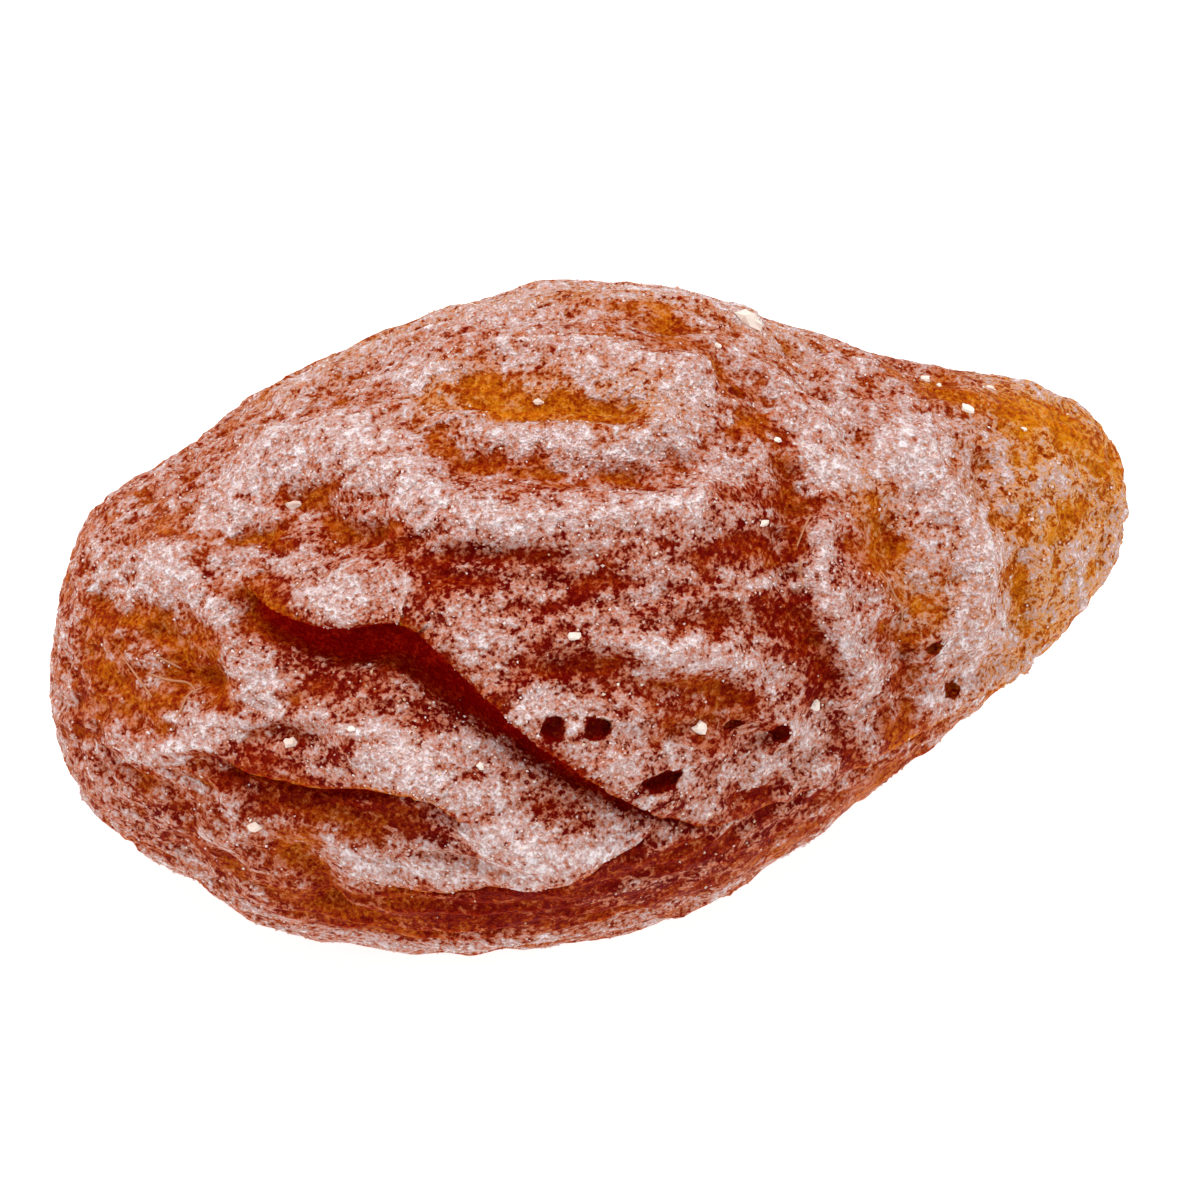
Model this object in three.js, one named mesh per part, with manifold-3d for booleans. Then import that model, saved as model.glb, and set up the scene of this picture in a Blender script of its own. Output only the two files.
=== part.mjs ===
// A hard candy: one lump of amber boiled sugar, pulled and folded over itself while it was soft.
// It is one solid. Millimetres, +Z up, long way along X, the face with the fold tipped up towards -Y.
// The origin is the middle of the base of its box, on the flat that it cooled on.
import * as THREE from "three";
import { mergeVertices } from "three/addons/utils/BufferGeometryUtils.js";
import Module from "manifold-3d";

// Overall sizes. The face frame has U along X, V up the face and W out of the face.
const HALF_LENGTH = 14.95;
const FACE_TILT = THREE.MathUtils.degToRad(50); // how far W stands above the table
const FLAT_LEVEL = -7.7; // the resting flat, measured from the middle of the lump
const BALL_DETAIL = 19; // the lump is a ball of triangles, pulled to shape
const SAME_PLACE = 1e-5; // corners of a ball closer than this are one corner

// Profiles, at equal steps from the blunt end to the tail: the mid line and half sizes of the section.
// The half sizes are those of the ellipse that the round end would close.
const MIDLINE_V = [-1.4, -1.3, -1.1, -0.7, -0.25, 0.1, 0.45, 0.85, 1.5, 2.5, 3.5];
const HALF_V = [12.2, 9.05, 9.25, 9.15, 9.25, 9.1, 8.65, 7.65, 7.0, 6.75, 7.4];
const MIDLINE_W = [0, 0, 0, 0, 0, 0, -0.1, -0.3, -0.8, -1.5, -2.3];
const HALF_W = [8.2, 7.7, 7.8, 8.1, 8.3, 8.2, 7.8, 7.0, 6.3, 6.1, 6.7];

// The low lumps all over: crossed waves, each turned by the golden angle.
const LUMP_WAVES = 14;
const LUMP_HEIGHT = 0.1;
const LUMP_LENGTH = { longest: 9, shortest: 3.2 };
const GOLDEN_ANGLE = Math.PI * (3 - Math.sqrt(5));
const GOLDEN_SHARE = (Math.sqrt(5) - 1) / 2;
const END_FADE = { share: 0.2, most: 1.8 }; // of a mark's length, or mm, over which it rises at each end

// Where one layer of sugar laps over another. Points are [U, V] on the face, tail end last: the edge of
// the upper layer's lip. "widths" are those of the gap that runs in under the lip, at equal steps along it.
const OVERLAPS = [
  { name: "main lap", widths: [0.5, 1.0, 1.5, 1.35, 0.9, 0.7, 0.45, 0.5, 0.55, 0.45, 0.3], step: 0.42,
    path: [[-9.8, 1.0], [-8.3, 0.1], [-6.8, -0.15], [-5.0, -0.15], [-3.3, -1.7], [-1.3, -3.5], [0.6, -4.7],
      [2.6, -5.55], [4.2, -5.4], [5.8, -4.7], [8.8, -3.2], [11.0, -1.9], [12.8, -0.9]] },
  { name: "lower lap", widths: [0.5, 0.75, 0.85, 0.55], step: 0.3,
    path: [[-10.2, -4.2], [-8.6, -4.75], [-6.6, -4.6], [-5.0, -4.85], [-3.5, -5.9]] },
  { name: "bottom band", widths: [0.35, 0.5, 0.5, 0.25], step: 0.2,
    path: [[-5.6, -7.4], [-3.1, -7.25], [-1.0, -6.9], [0.9, -6.3], [2.0, -5.95]] },
];
const GAP_DEPTH = 0.95; // of its width
const STEP_REACH = 0.75; // gap widths from the lip to the top of the upper layer's roll
const GAP_MOUTH = 0.6; // how far the cutting section stands clear of the skin, in depths

// Section of the gap, across (towards the upper layer, in widths) and up (in depths), round its edge.
const GAP_SECTION = [
  [-0.95, GAP_MOUTH], [0.28, GAP_MOUTH], [0.05, 0.06], [0.03, -0.2],
  [0.45, -0.78], [0.34, -1], [-0.1, -0.82], [-0.55, -0.4],
];

// Ridges (height above 0) and hollows (below 0) that the pull left in the skin.
const CREASES = [
  { name: "brow", height: 0.55, width: 0.9,
    path: [[-10.0, 3.6], [-8.4, 4.5], [-6.4, 4.7], [-5.0, 3.7], [-4.0, 2.9], [-1.0, 2.7], [2.0, 2.7],
      [4.6, 3.9]] },
  { name: "ring top", height: 0.4, width: 0.7,
    path: [[-5.0, 6.2], [-3.4, 7.1], [-1.0, 7.2], [1.4, 6.9], [2.8, 6.4], [3.0, 5.6]] },
  { name: "ring bottom", height: 0.3, width: 0.7,
    path: [[-4.6, 5.4], [-3.0, 5.1], [-1.0, 5.1], [1.6, 5.1], [3.0, 5.4]] },
  { name: "ring hollow", height: -0.3, width: 0.7,
    path: [[-4.0, 6.1], [-2.4, 6.1], [-0.6, 5.9], [1.6, 5.7]] },
  { name: "under the ring", height: -0.3, width: 0.8,
    path: [[-4.4, 4.7], [-2.8, 4.2], [-1.0, 4.0], [1.0, 3.8], [2.8, 4.4], [4.4, 5.4]] },
  { name: "ring end", height: -0.4, width: 0.6, path: [[3.2, 6.9], [4.4, 6.6], [4.7, 5.6]] },
  { name: "left loop", height: 0.35, width: 0.7,
    path: [[-12.8, 1.0], [-11.8, 1.6], [-10.4, 1.0], [-9.7, -0.8], [-9.0, -2.2]] },
  { name: "under the brow", height: -0.4, width: 0.6,
    path: [[-8.3, 3.4], [-7.3, 3.0], [-6.5, 2.3], [-5.2, 2.3]] },
  { name: "left dimple", height: -0.35, width: 0.6,
    path: [[-12.0, 0.0], [-11.3, -0.7], [-10.8, -1.5], [-9.8, -1.8]] },
  { name: "left cheek", height: 0.35, width: 0.7,
    path: [[-9.0, -2.2], [-10.2, -3.1], [-12.2, -3.4], [-13.4, -3.2]] },
  { name: "lower bulge", height: 0.5, width: 0.9,
    path: [[-7.4, -2.6], [-5.0, -3.7], [-3.2, -4.9], [-1.8, -6.1], [0.6, -6.3]] },
  { name: "lower lid", height: -0.4, width: 0.6,
    path: [[-10.0, -3.6], [-9.0, -3.3], [-8.0, -3.1], [-7.2, -3.3], [-6.6, -3.8]] },
  { name: "heel groove", height: -0.35, width: 0.6, path: [[-8.2, -6.2], [-7.5, -7.1], [-7.1, -8.2]] },
  { name: "belly wrinkle", height: -0.4, width: 0.6,
    path: [[-5.0, 1.9], [-3.8, 1.5], [-2.6, 1.8], [-1.2, 1.6], [0.6, 1.5]] },
  { name: "belly crease", height: -0.35, width: 0.6,
    path: [[-2.2, 0.3], [-0.8, 0.5], [0.8, 0.5], [2.6, 0.7]] },
  { name: "belly fold", height: 0.35, width: 0.6,
    path: [[0.4, -0.6], [2.0, -0.9], [3.6, -1.0], [5.0, -1.7]] },
  { name: "belly hollow", height: -0.4, width: 0.6,
    path: [[-1.6, -1.2], [0.2, -1.6], [2.0, -1.9], [4.4, -2.2]] },
  { name: "belly dent", height: -0.3, width: 0.6, path: [[1.8, -3.4], [3.2, -3.0], [5.2, -3.3]] },
  { name: "collar", height: 0.45, width: 0.75,
    path: [[7.4, 4.6], [8.8, 4.4], [10.0, 3.0], [10.8, 1.6], [10.7, 0.2], [10.4, -1.0]] },
  { name: "collar arc", height: 0.3, width: 0.6,
    path: [[6.8, 2.8], [6.3, 1.9], [6.5, 0.8], [6.8, -0.4], [7.5, -2.0]] },
  { name: "collar groove", height: -0.4, width: 0.6,
    path: [[5.2, 4.6], [5.5, 3.3], [5.2, 1.8], [5.6, 0.0], [6.3, -1.2], [6.3, -2.2], [6.9, -3.8]] },
  { name: "inner groove", height: -0.4, width: 0.6,
    path: [[8.0, 3.4], [8.2, 2.0], [9.0, 0.6], [8.4, -0.6], [8.8, -2.0], [8.4, -3.2]] },
  { name: "neck", height: -0.35, width: 0.7, path: [[10.6, 4.9], [11.3, 3.0], [11.8, 1.2], [11.9, -0.6]] },
  { name: "shoulder", height: 0.3, width: 0.6, path: [[-1.0, 8.6], [2.6, 8.5], [4.8, 8.1]] },
  { name: "shoulder dip", height: -0.4, width: 0.7, path: [[5.6, 7.6], [6.4, 6.2], [7.6, 5.8]] },
];

// The same kinds of marks on the side away from the face, seen as from the front.
const BACK_OVERLAPS = [
  { name: "back lap", widths: [0.5, 0.9, 0.5], step: 0.35,
    path: [[-8.6, 3.4], [-4.6, 4.4], [0.2, 3.6], [4.8, 4.2]] },
];
const BACK_CREASES = [
  { name: "back ridge", height: 0.5, width: 1.0,
    path: [[-11.0, 0.4], [-6.4, 1.2], [-1.2, 0.6], [4.4, 1.6], [9.0, 2.2]] },
  { name: "back groove", height: -0.5, width: 0.6,
    path: [[-9.6, -1.6], [-4.6, -1.0], [0.8, -1.8], [6.6, -0.4]] },
  { name: "back arc", height: 0.4, width: 0.7, path: [[7.0, 4.4], [9.0, 3.0], [9.4, 0.8]] },
  { name: "back end", height: -0.4, width: 0.6, path: [[-12.2, 2.4], [-10.6, 3.6], [-8.2, 5.4]] },
];

// Bubbles of air that burst at the skin and left pits: their half sizes along U and V.
const BUBBLE_DETAIL = 1;
const BUBBLES = [
  { at: [-0.95, -3.0], half: [0.33, 0.32] },
  { at: [0.2, -3.0], half: [0.34, 0.3] },
  { at: [1.95, -4.4], half: [0.62, 0.25] },
  { at: [5.15, -3.15], half: [0.3, 0.3] },
  { at: [9.95, -2.0], half: [0.29, 0.24] },
  { at: [9.4, -0.85], half: [0.24, 0.2] },
  { at: [4.05, 6.15], half: [0.24, 0.2] },
];
const PIT_DEPTH = 0.9; // of a pit's longer half size
const PIT_SUNK = 0.3; // how deep its middle lies under the skin, in depths

// Value at share t (0 to 1) of a smooth curve through equally spaced values.
function curveOf(values) {
  const spline = new THREE.SplineCurve(values.map((value, i) => new THREE.Vector2(i, value)));
  const point = new THREE.Vector2();
  return (t) => spline.getPoint(THREE.MathUtils.clamp(t, 0, 1), point).y;
}

const midlineV = curveOf(MIDLINE_V);
const halfV = curveOf(HALF_V);
const midlineW = curveOf(MIDLINE_W);
const halfW = curveOf(HALF_W);

// The smooth lump: where a direction from the middle of a ball goes, in the face frame.
function smoothPoint(direction) {
  const t = (direction.x + 1) / 2;
  return new THREE.Vector3(
    HALF_LENGTH * direction.x,
    midlineV(t) + halfV(t) * direction.y,
    midlineW(t) + halfW(t) * direction.z,
  );
}

function smoothNormal(direction) {
  const t = (direction.x + 1) / 2;
  return new THREE.Vector3(
    direction.x / HALF_LENGTH,
    direction.y / halfV(t),
    direction.z / halfW(t),
  ).normalize();
}

// The direction of a point drawn on the face (side 1) or on the back (side -1).
function directionOf([u, v], side = 1) {
  const along = u / HALF_LENGTH;
  const t = (along + 1) / 2;
  const up = (v - midlineV(t)) / halfV(t);
  const out = Math.sqrt(Math.max(0, 1 - along * along - up * up));
  return new THREE.Vector3(along, up, side * out).normalize();
}

// The direction whose smooth point lies over or under a place near the skin.
function directionTo(place) {
  const along = place.x / HALF_LENGTH;
  const t = (along + 1) / 2;
  const up = (place.y - midlineV(t)) / halfV(t);
  return new THREE.Vector3(along, up, (place.z - midlineW(t)) / halfW(t)).normalize();
}

const LINE_STEP = 0.75; // between the points of a mark's line
const MARK_REACH = 2.8; // widths, past which a mark no longer moves the skin

function layOnSkin(marks, side) {
  return marks.map((mark) => {
    const knots = mark.path.map((point) => smoothPoint(directionOf(point, side)));
    const curve = new THREE.CatmullRomCurve3(knots, false, "centripetal");
    const length = curve.getLength();
    const line = curve.getSpacedPoints(Math.ceil(length / LINE_STEP));
    const widths = mark.widths ?? [mark.width, mark.width];
    const near = new THREE.Box3().setFromPoints(line).expandByScalar(Math.max(...widths) * MARK_REACH);
    return { ...mark, side, line, length, near, widthAt: curveOf(widths), widest: Math.max(...widths) };
  });
}

const overlaps = [...layOnSkin(OVERLAPS, 1), ...layOnSkin(BACK_OVERLAPS, -1)];
const creases = [...layOnSkin(CREASES, 1), ...layOnSkin(BACK_CREASES, -1)];

// Nearest place on a mark's line: how far off it is, the share along the line, and the line's heading.
function nearest(line, point) {
  const segment = new THREE.Line3();
  const foot = new THREE.Vector3();
  let best = { distance: Infinity };
  for (let i = 0; i < line.length - 1; i += 1) {
    segment.set(line[i], line[i + 1]);
    const share = segment.closestPointToPointParameter(point, true);
    const distance = segment.at(share, foot).distanceTo(point);
    if (distance < best.distance) {
      const heading = segment.delta(new THREE.Vector3()).normalize();
      best = { distance, along: (i + share) / (line.length - 1), foot: foot.clone(), heading };
    }
  }
  return best;
}

// Full strength along the middle of a mark, fading to nothing at both of its ends.
function fade(along, { length }) {
  const over = Math.min(END_FADE.share, END_FADE.most / length);
  return THREE.MathUtils.smoothstep(Math.min(along, 1 - along), 0, over);
}

function lumpHeight(point) {
  let height = 0;
  for (let i = 0; i < LUMP_WAVES; i += 1) {
    const share = (i + 0.5) / LUMP_WAVES;
    const z = 1 - 2 * share;
    const ring = Math.sqrt(1 - z * z);
    const wave = new THREE.Vector3(
      ring * Math.cos(GOLDEN_ANGLE * i),
      ring * Math.sin(GOLDEN_ANGLE * i),
      z,
    );
    const length = THREE.MathUtils.lerp(LUMP_LENGTH.longest, LUMP_LENGTH.shortest, (i * GOLDEN_SHARE) % 1);
    height += Math.sin((2 * Math.PI * wave.dot(point)) / length + i * i);
  }
  return (LUMP_HEIGHT * height) / Math.sqrt(LUMP_WAVES / 2);
}

// The way along the skin from the lower layer of a lap to the upper one.
function acrossLap(lap, normal, heading) {
  return normal.clone().cross(heading).normalize().multiplyScalar(lap.side);
}

// The rise to the rolled edge of the upper layer and the dip of the lower one.
function lapHeight(lap, base, normal) {
  const { distance, along, foot, heading } = nearest(lap.line, base);
  const place = acrossLap(lap, normal, heading).dot(base.clone().sub(foot));
  const width = lap.widthAt(along);
  const share = (Math.sign(place) * distance) / (STEP_REACH * width);
  const step = lap.step * Math.sqrt(width / lap.widest);
  return fade(along, lap) * step * share * Math.exp((1 - share * share) / 2);
}

function creaseHeight(crease, base) {
  const { distance, along } = nearest(crease.line, base);
  const share = distance / crease.width;
  return fade(along, crease) * crease.height * Math.exp(-share * share);
}

// The skin over one direction, in the face frame, before the gaps and the bubbles are opened.
function skinPoint(direction) {
  const base = smoothPoint(direction);
  const normal = smoothNormal(direction);
  const isNear = (mark) => mark.near.containsPoint(base);
  let height = lumpHeight(base);
  for (const lap of overlaps.filter(isNear)) height += lapHeight(lap, base, normal);
  for (const crease of creases.filter(isNear)) height += creaseHeight(crease, base);
  return { point: base.addScaledVector(normal, height), normal };
}

function skinGeometry() {
  const ball = bareBall(1, BALL_DETAIL);
  const places = ball.getAttribute("position");
  const direction = new THREE.Vector3();
  for (let i = 0; i < places.count; i += 1) {
    const { point } = skinPoint(direction.fromBufferAttribute(places, i).normalize());
    places.setXYZ(i, ...point.toArray());
  }
  return ball;
}

// The gap under a lip: its section swept along the lip, closing to a point at both ends.
function gapGeometry(lap) {
  const { line, side } = lap;
  const skin = line.map((place) => skinPoint(directionTo(place)));
  const points = [skin[0].point];
  for (let i = 1; i < line.length - 1; i += 1) {
    const { point, normal } = skin[i];
    const across = acrossLap(lap, normal, line[i + 1].clone().sub(line[i - 1]));
    const along = i / (line.length - 1);
    const width = fade(along, lap) * lap.widthAt(along);
    for (const [aside, up] of GAP_SECTION) {
      const corner = point.clone().addScaledVector(across, aside * width);
      points.push(corner.addScaledVector(normal, up * width * GAP_DEPTH));
    }
  }
  points.push(skin.at(-1).point);
  return new THREE.BufferGeometry().setFromPoints(points).setIndex(sweepFaces(line.length - 2, side));
}

// Triangles of a sweep of "rings" rings of the gap's section, with a single point before and after them.
function sweepFaces(rings, side) {
  const corners = GAP_SECTION.length;
  const last = rings * corners + 1;
  const faces = [];
  const cornerAt = (ring, corner) => 1 + ring * corners + (corner % corners);
  for (let corner = 0; corner < corners; corner += 1) {
    faces.push([0, cornerAt(0, corner), cornerAt(0, corner + 1)]);
    faces.push([last, cornerAt(rings - 1, corner + 1), cornerAt(rings - 1, corner)]);
    for (let ring = 0; ring < rings - 1; ring += 1) {
      const square = [cornerAt(ring, corner), cornerAt(ring + 1, corner)];
      square.push(cornerAt(ring + 1, corner + 1), cornerAt(ring, corner + 1));
      faces.push([square[0], square[1], square[2]], [square[0], square[2], square[3]]);
    }
  }
  return (side > 0 ? faces : faces.map((face) => face.reverse())).flat();
}

// A closed geometry as a solid of the boolean library, and back.
function solidOf(wasm, geometry) {
  return new wasm.Manifold(new wasm.Mesh({
    numProp: 3,
    vertProperties: new Float32Array(geometry.getAttribute("position").array),
    triVerts: new Uint32Array(geometry.index.array),
  }));
}

function geometryOfSolid(solid) {
  const { vertProperties, triVerts } = solid.getMesh();
  return new THREE.BufferGeometry()
    .setAttribute("position", new THREE.BufferAttribute(vertProperties, 3))
    .setIndex(new THREE.BufferAttribute(triVerts, 1));
}

function bareBall(radius, detail) {
  const ball = new THREE.IcosahedronGeometry(radius, detail);
  ball.deleteAttribute("normal");
  ball.deleteAttribute("uv");
  return mergeVertices(ball, SAME_PLACE);
}

// The closed pit of a burst bubble, as a flattened ball that cuts the skin.
function bubbleGeometry({ at, half }) {
  const { point, normal } = skinPoint(directionOf(at));
  const upward = normal.clone().cross(new THREE.Vector3(1, 0, 0)).normalize();
  const depth = PIT_DEPTH * Math.max(...half);
  const pit = new THREE.Matrix4().makeBasis(upward.clone().cross(normal), upward, normal);
  pit.scale(new THREE.Vector3(...half, depth));
  pit.setPosition(point.addScaledVector(normal, -PIT_SUNK * depth));
  return bareBall(1, BUBBLE_DETAIL).applyMatrix4(pit);
}

// Opens the gaps and the bubbles, tips the face up, and rests the underside on a flat.
function candyGeometry(wasm) {
  let solid = solidOf(wasm, skinGeometry());
  for (const hollow of [...overlaps.map(gapGeometry), ...BUBBLES.map(bubbleGeometry)]) {
    solid = solid.subtract(solidOf(wasm, hollow));
  }
  const tip = new THREE.Matrix4().makeRotationX(Math.PI / 2 - FACE_TILT);
  const geometry = geometryOfSolid(solid).applyMatrix4(tip);
  const places = geometry.getAttribute("position");
  for (let i = 0; i < places.count; i += 1) places.setZ(i, Math.max(places.getZ(i), FLAT_LEVEL));
  geometry.computeBoundingBox();
  const { min, max } = geometry.boundingBox;
  geometry.translate(-(min.x + max.x) / 2, -(min.y + max.y) / 2, -min.z);
  geometry.computeVertexNormals();
  return geometry;
}

const wasm = await Module();
wasm.setup();

const amber = new THREE.MeshStandardMaterial({ color: 0xa85a2c, roughness: 0.55, metalness: 0 });
const candy = new THREE.Mesh(candyGeometry(wasm), amber);
candy.name = "candy";

const sweet = new THREE.Group();
sweet.add(candy);

export default sweet;
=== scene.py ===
"""A hard candy: one lump of amber boiled sugar, pulled and folded over itself, dusted with fine sugar.

Metres, +Z up, long way along X. The lump is drawn in a frame of its own, in millimetres: U along the lump,
V up its face and W out of the face, which is tipped up towards -Y.
"""

import math

import bpy
import numpy as np
from mathutils import Matrix, Vector, noise
from mathutils.bvhtree import BVHTree


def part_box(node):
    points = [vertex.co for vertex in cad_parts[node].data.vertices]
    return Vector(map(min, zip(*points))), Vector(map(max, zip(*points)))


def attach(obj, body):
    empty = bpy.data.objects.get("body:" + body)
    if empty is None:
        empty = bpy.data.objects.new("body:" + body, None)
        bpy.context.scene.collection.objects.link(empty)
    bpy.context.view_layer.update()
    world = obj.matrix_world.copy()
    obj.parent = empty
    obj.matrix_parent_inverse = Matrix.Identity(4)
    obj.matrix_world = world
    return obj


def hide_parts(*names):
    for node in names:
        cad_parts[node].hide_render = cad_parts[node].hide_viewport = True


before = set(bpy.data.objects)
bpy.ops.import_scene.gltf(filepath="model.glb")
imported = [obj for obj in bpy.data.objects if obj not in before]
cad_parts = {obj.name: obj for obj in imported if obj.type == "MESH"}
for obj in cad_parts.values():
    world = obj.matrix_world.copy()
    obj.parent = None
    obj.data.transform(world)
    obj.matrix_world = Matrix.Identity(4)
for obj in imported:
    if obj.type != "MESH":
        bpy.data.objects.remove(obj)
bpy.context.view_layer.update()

MM = 0.001


# The lump of boiled sugar, seen before any of its folds: a long round body, blunt at one end and drawn
# out to a tail at the other. It cooled lying on a small flat of its own underside.
HALF_LENGTH = 14.95
FACE_TILT = math.radians(50)  # how far W stands above the table
FLAT_LEVEL = -7.7  # the resting flat, measured from the middle of the lump
MIDLINE_V = [-1.2, -1.25, -1.1, -0.7, -0.25, 0.1, 0.45, 0.85, 1.5, 2.5, 3.5]
HALF_V = [11.4, 9.0, 9.25, 9.15, 9.25, 9.1, 8.65, 7.65, 7.0, 6.75, 7.4]
MIDLINE_W = [0, 0, 0, 0, 0, 0, -0.1, -0.3, -0.8, -1.5, -2.3]
HALF_W = [8.2, 7.7, 7.8, 8.1, 8.3, 8.2, 7.8, 7.0, 6.3, 6.1, 6.7]
BALL_CELLS = 126  # cells along each side of the cube that is blown up to the ball

TO_ROW = Matrix.Rotation(math.pi / 2 - FACE_TILT, 4, "X")


def curve_through(values, shares):
    """Heights at shares (0 to 1) of a smooth curve through equally spaced values."""
    values = np.asarray(values, float)
    last = len(values) - 1
    place = np.clip(shares, 0, 1) * last
    start = np.minimum(place.astype(int), last - 1)
    t = place - start
    p0, p1 = values[np.maximum(start - 1, 0)], values[start]
    p2, p3 = values[start + 1], values[np.minimum(start + 2, last)]
    pull_in, pull_out = (p2 - p0) / 2, (p3 - p1) / 2
    cube = 2 * p1 - 2 * p2 + pull_in + pull_out
    square = -3 * p1 + 3 * p2 - 2 * pull_in - pull_out
    return ((cube * t + square) * t + pull_in) * t + p1


def section_at(along):
    """Mid line and half sizes (V, then W) of the section at a share of the half length, -1 to 1."""
    share = (along + 1) / 2
    middle = np.stack([curve_through(MIDLINE_V, share), curve_through(MIDLINE_W, share)], -1)
    half = np.stack([curve_through(HALF_V, share), curve_through(HALF_W, share)], -1)
    return middle, half


def smooth_points(directions):
    middle, half = section_at(directions[:, 0])
    return np.column_stack([HALF_LENGTH * directions[:, 0], middle + half * directions[:, 1:]])


def smooth_normals(directions):
    _, half = section_at(directions[:, 0])
    outward = np.column_stack([directions[:, 0] / HALF_LENGTH, directions[:, 1:] / half])
    return outward / np.linalg.norm(outward, axis=1, keepdims=True)


def directions_on(path, side):
    """Directions of [U, V] points drawn on the face (side 1) or on the back (side -1)."""
    path = np.asarray(path, float)
    along = path[:, 0] / HALF_LENGTH
    middle, half = section_at(along)
    up = (path[:, 1] - middle[:, 0]) / half[:, 0]
    out = side * np.sqrt(np.maximum(0, 1 - along**2 - up**2))
    directions = np.column_stack([along, up, out])
    return directions / np.linalg.norm(directions, axis=1, keepdims=True)


def cube_ball(cells):
    """Directions and quads of a cube of square cells, blown up to a ball."""
    step = np.tan(np.linspace(-1, 1, cells + 1) * math.pi / 4)
    a, b = np.meshgrid(step, step, indexing="ij")
    number = np.arange((cells + 1) ** 2).reshape(cells + 1, cells + 1)
    quads = np.stack([number[:-1, :-1], number[1:, :-1], number[1:, 1:], number[:-1, 1:]], -1).reshape(-1, 4)
    points, faces = [], []
    for axis in range(3):
        for side in (1, -1):
            corner = np.empty((a.size, 3))
            corner[:, axis] = side
            corner[:, (axis + 1) % 3] = a.ravel()
            corner[:, (axis + 2) % 3] = b.ravel()
            points.append(corner)
            faces.append((quads if side > 0 else quads[:, ::-1]) + (len(points) - 1) * a.size)
    points, number = np.unique(np.round(np.vstack(points), 6), axis=0, return_inverse=True)
    directions = points / np.linalg.norm(points, axis=1, keepdims=True)
    return directions, number.reshape(-1)[np.vstack(faces)]


def wander(places, lump, seed, stretch=(1, 1, 1)):
    """Smooth noise from about -1 to 1, with lumps of a size in mm, drawn out along U, V and W."""
    scaled = places / (lump * np.array(stretch)) + seed
    return np.array([noise.noise(place) for place in scaled.tolist()])


ball, ball_quads = cube_ball(BALL_CELLS)
bare = smooth_points(ball)
outward = smooth_normals(ball)


# The folds and creases: the lump was pulled like taffy, so one layer of sugar laps over another along
# its face, and ridges and hollows run where the skin was drawn out. They are drawn on as strokes.
PATH_STEPS = 48
MARK_REACH = 2.8  # widths, past which a stroke no longer moves the skin
END_FADE = {"share": 0.12, "most": 1.8}  # of its length, or mm: how a stroke rises from the skin at its ends
STRAY = {"by": 0.22, "lump": 2.1}  # how far, in mm, a stroke wanders off its drawn line, and how soon
STRAY_SEEDS = (3.1, 11.7, 23.9)

# Each lap: widths of the gap at equal steps along the lip, the step between the layers, the lip's edge.
OVERLAPS = [
    ([0.5, 1.0, 1.5, 1.35, 0.9, 0.7, 0.45, 0.5, 0.55, 0.45, 0.3], 0.42,
     [[-9.8, 1], [-8.3, 0], [-6.8, -0.42], [-5, -0.32], [-3.4, -1.7], [-1.3, -3.5], [0.6, -4.7],
      [2.6, -5.55], [4.2, -5.4], [5.8, -4.7], [8.8, -3.2], [11, -1.9], [12.8, -0.9]]),
    ([0.45, 0.55, 0.65, 0.7, 0.4], 0.3,
     [[-10.2, -3.9], [-8.9, -4.25], [-7.4, -4.6], [-5.8, -4.55], [-4.3, -4.7], [-3, -5.6]]),
    ([0.35, 0.5, 0.5, 0.25], 0.2,
     [[-5.6, -7.4], [-3.1, -7.25], [-1, -6.9], [0.9, -6.3], [2, -5.95]]),
]
BACK_OVERLAPS = [([0.5, 0.9, 0.5], 0.35, [[-8.6, 3.4], [-4.6, 4.4], [0.2, 3.6], [4.8, 4.2]])]
GAP_DEPTH = 0.95  # of its width
STEP_REACH = 0.75  # gap widths from the lip to the top of the upper layer's roll

# The fold's section at equal steps across it, one width to each side: from the lower layer, down under
# the lip and back up over it. The first row is the way across in widths, the second up in depths.
FOLD_ACROSS = [-1, -0.8, -0.62, -0.38, -0.08, 0.3, 0.34, 0.1, 0.12, 0.55, 1]
FOLD_UP = [0, -0.04, -0.4, -0.72, -0.9, -1, -0.6, -0.15, 0.06, 0.05, 0]
CHANNEL = (-0.9, -0.15, 0.42, 0.56)  # where the channel under a lip starts, is full, and ends again, in widths; there the finish paints dark red shade
LIP = (0.6, 0.08)  # where the bare edge of the lip lies, and how wide it is, in widths
CHANNEL_STRENGTH = (0.3, 1)  # of the stroke, where the channel's painted shade starts and is full
CHANNEL_WIDTH = (0.2, 0.6)  # of the gap, in mm, where its painted shade starts and is full

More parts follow.
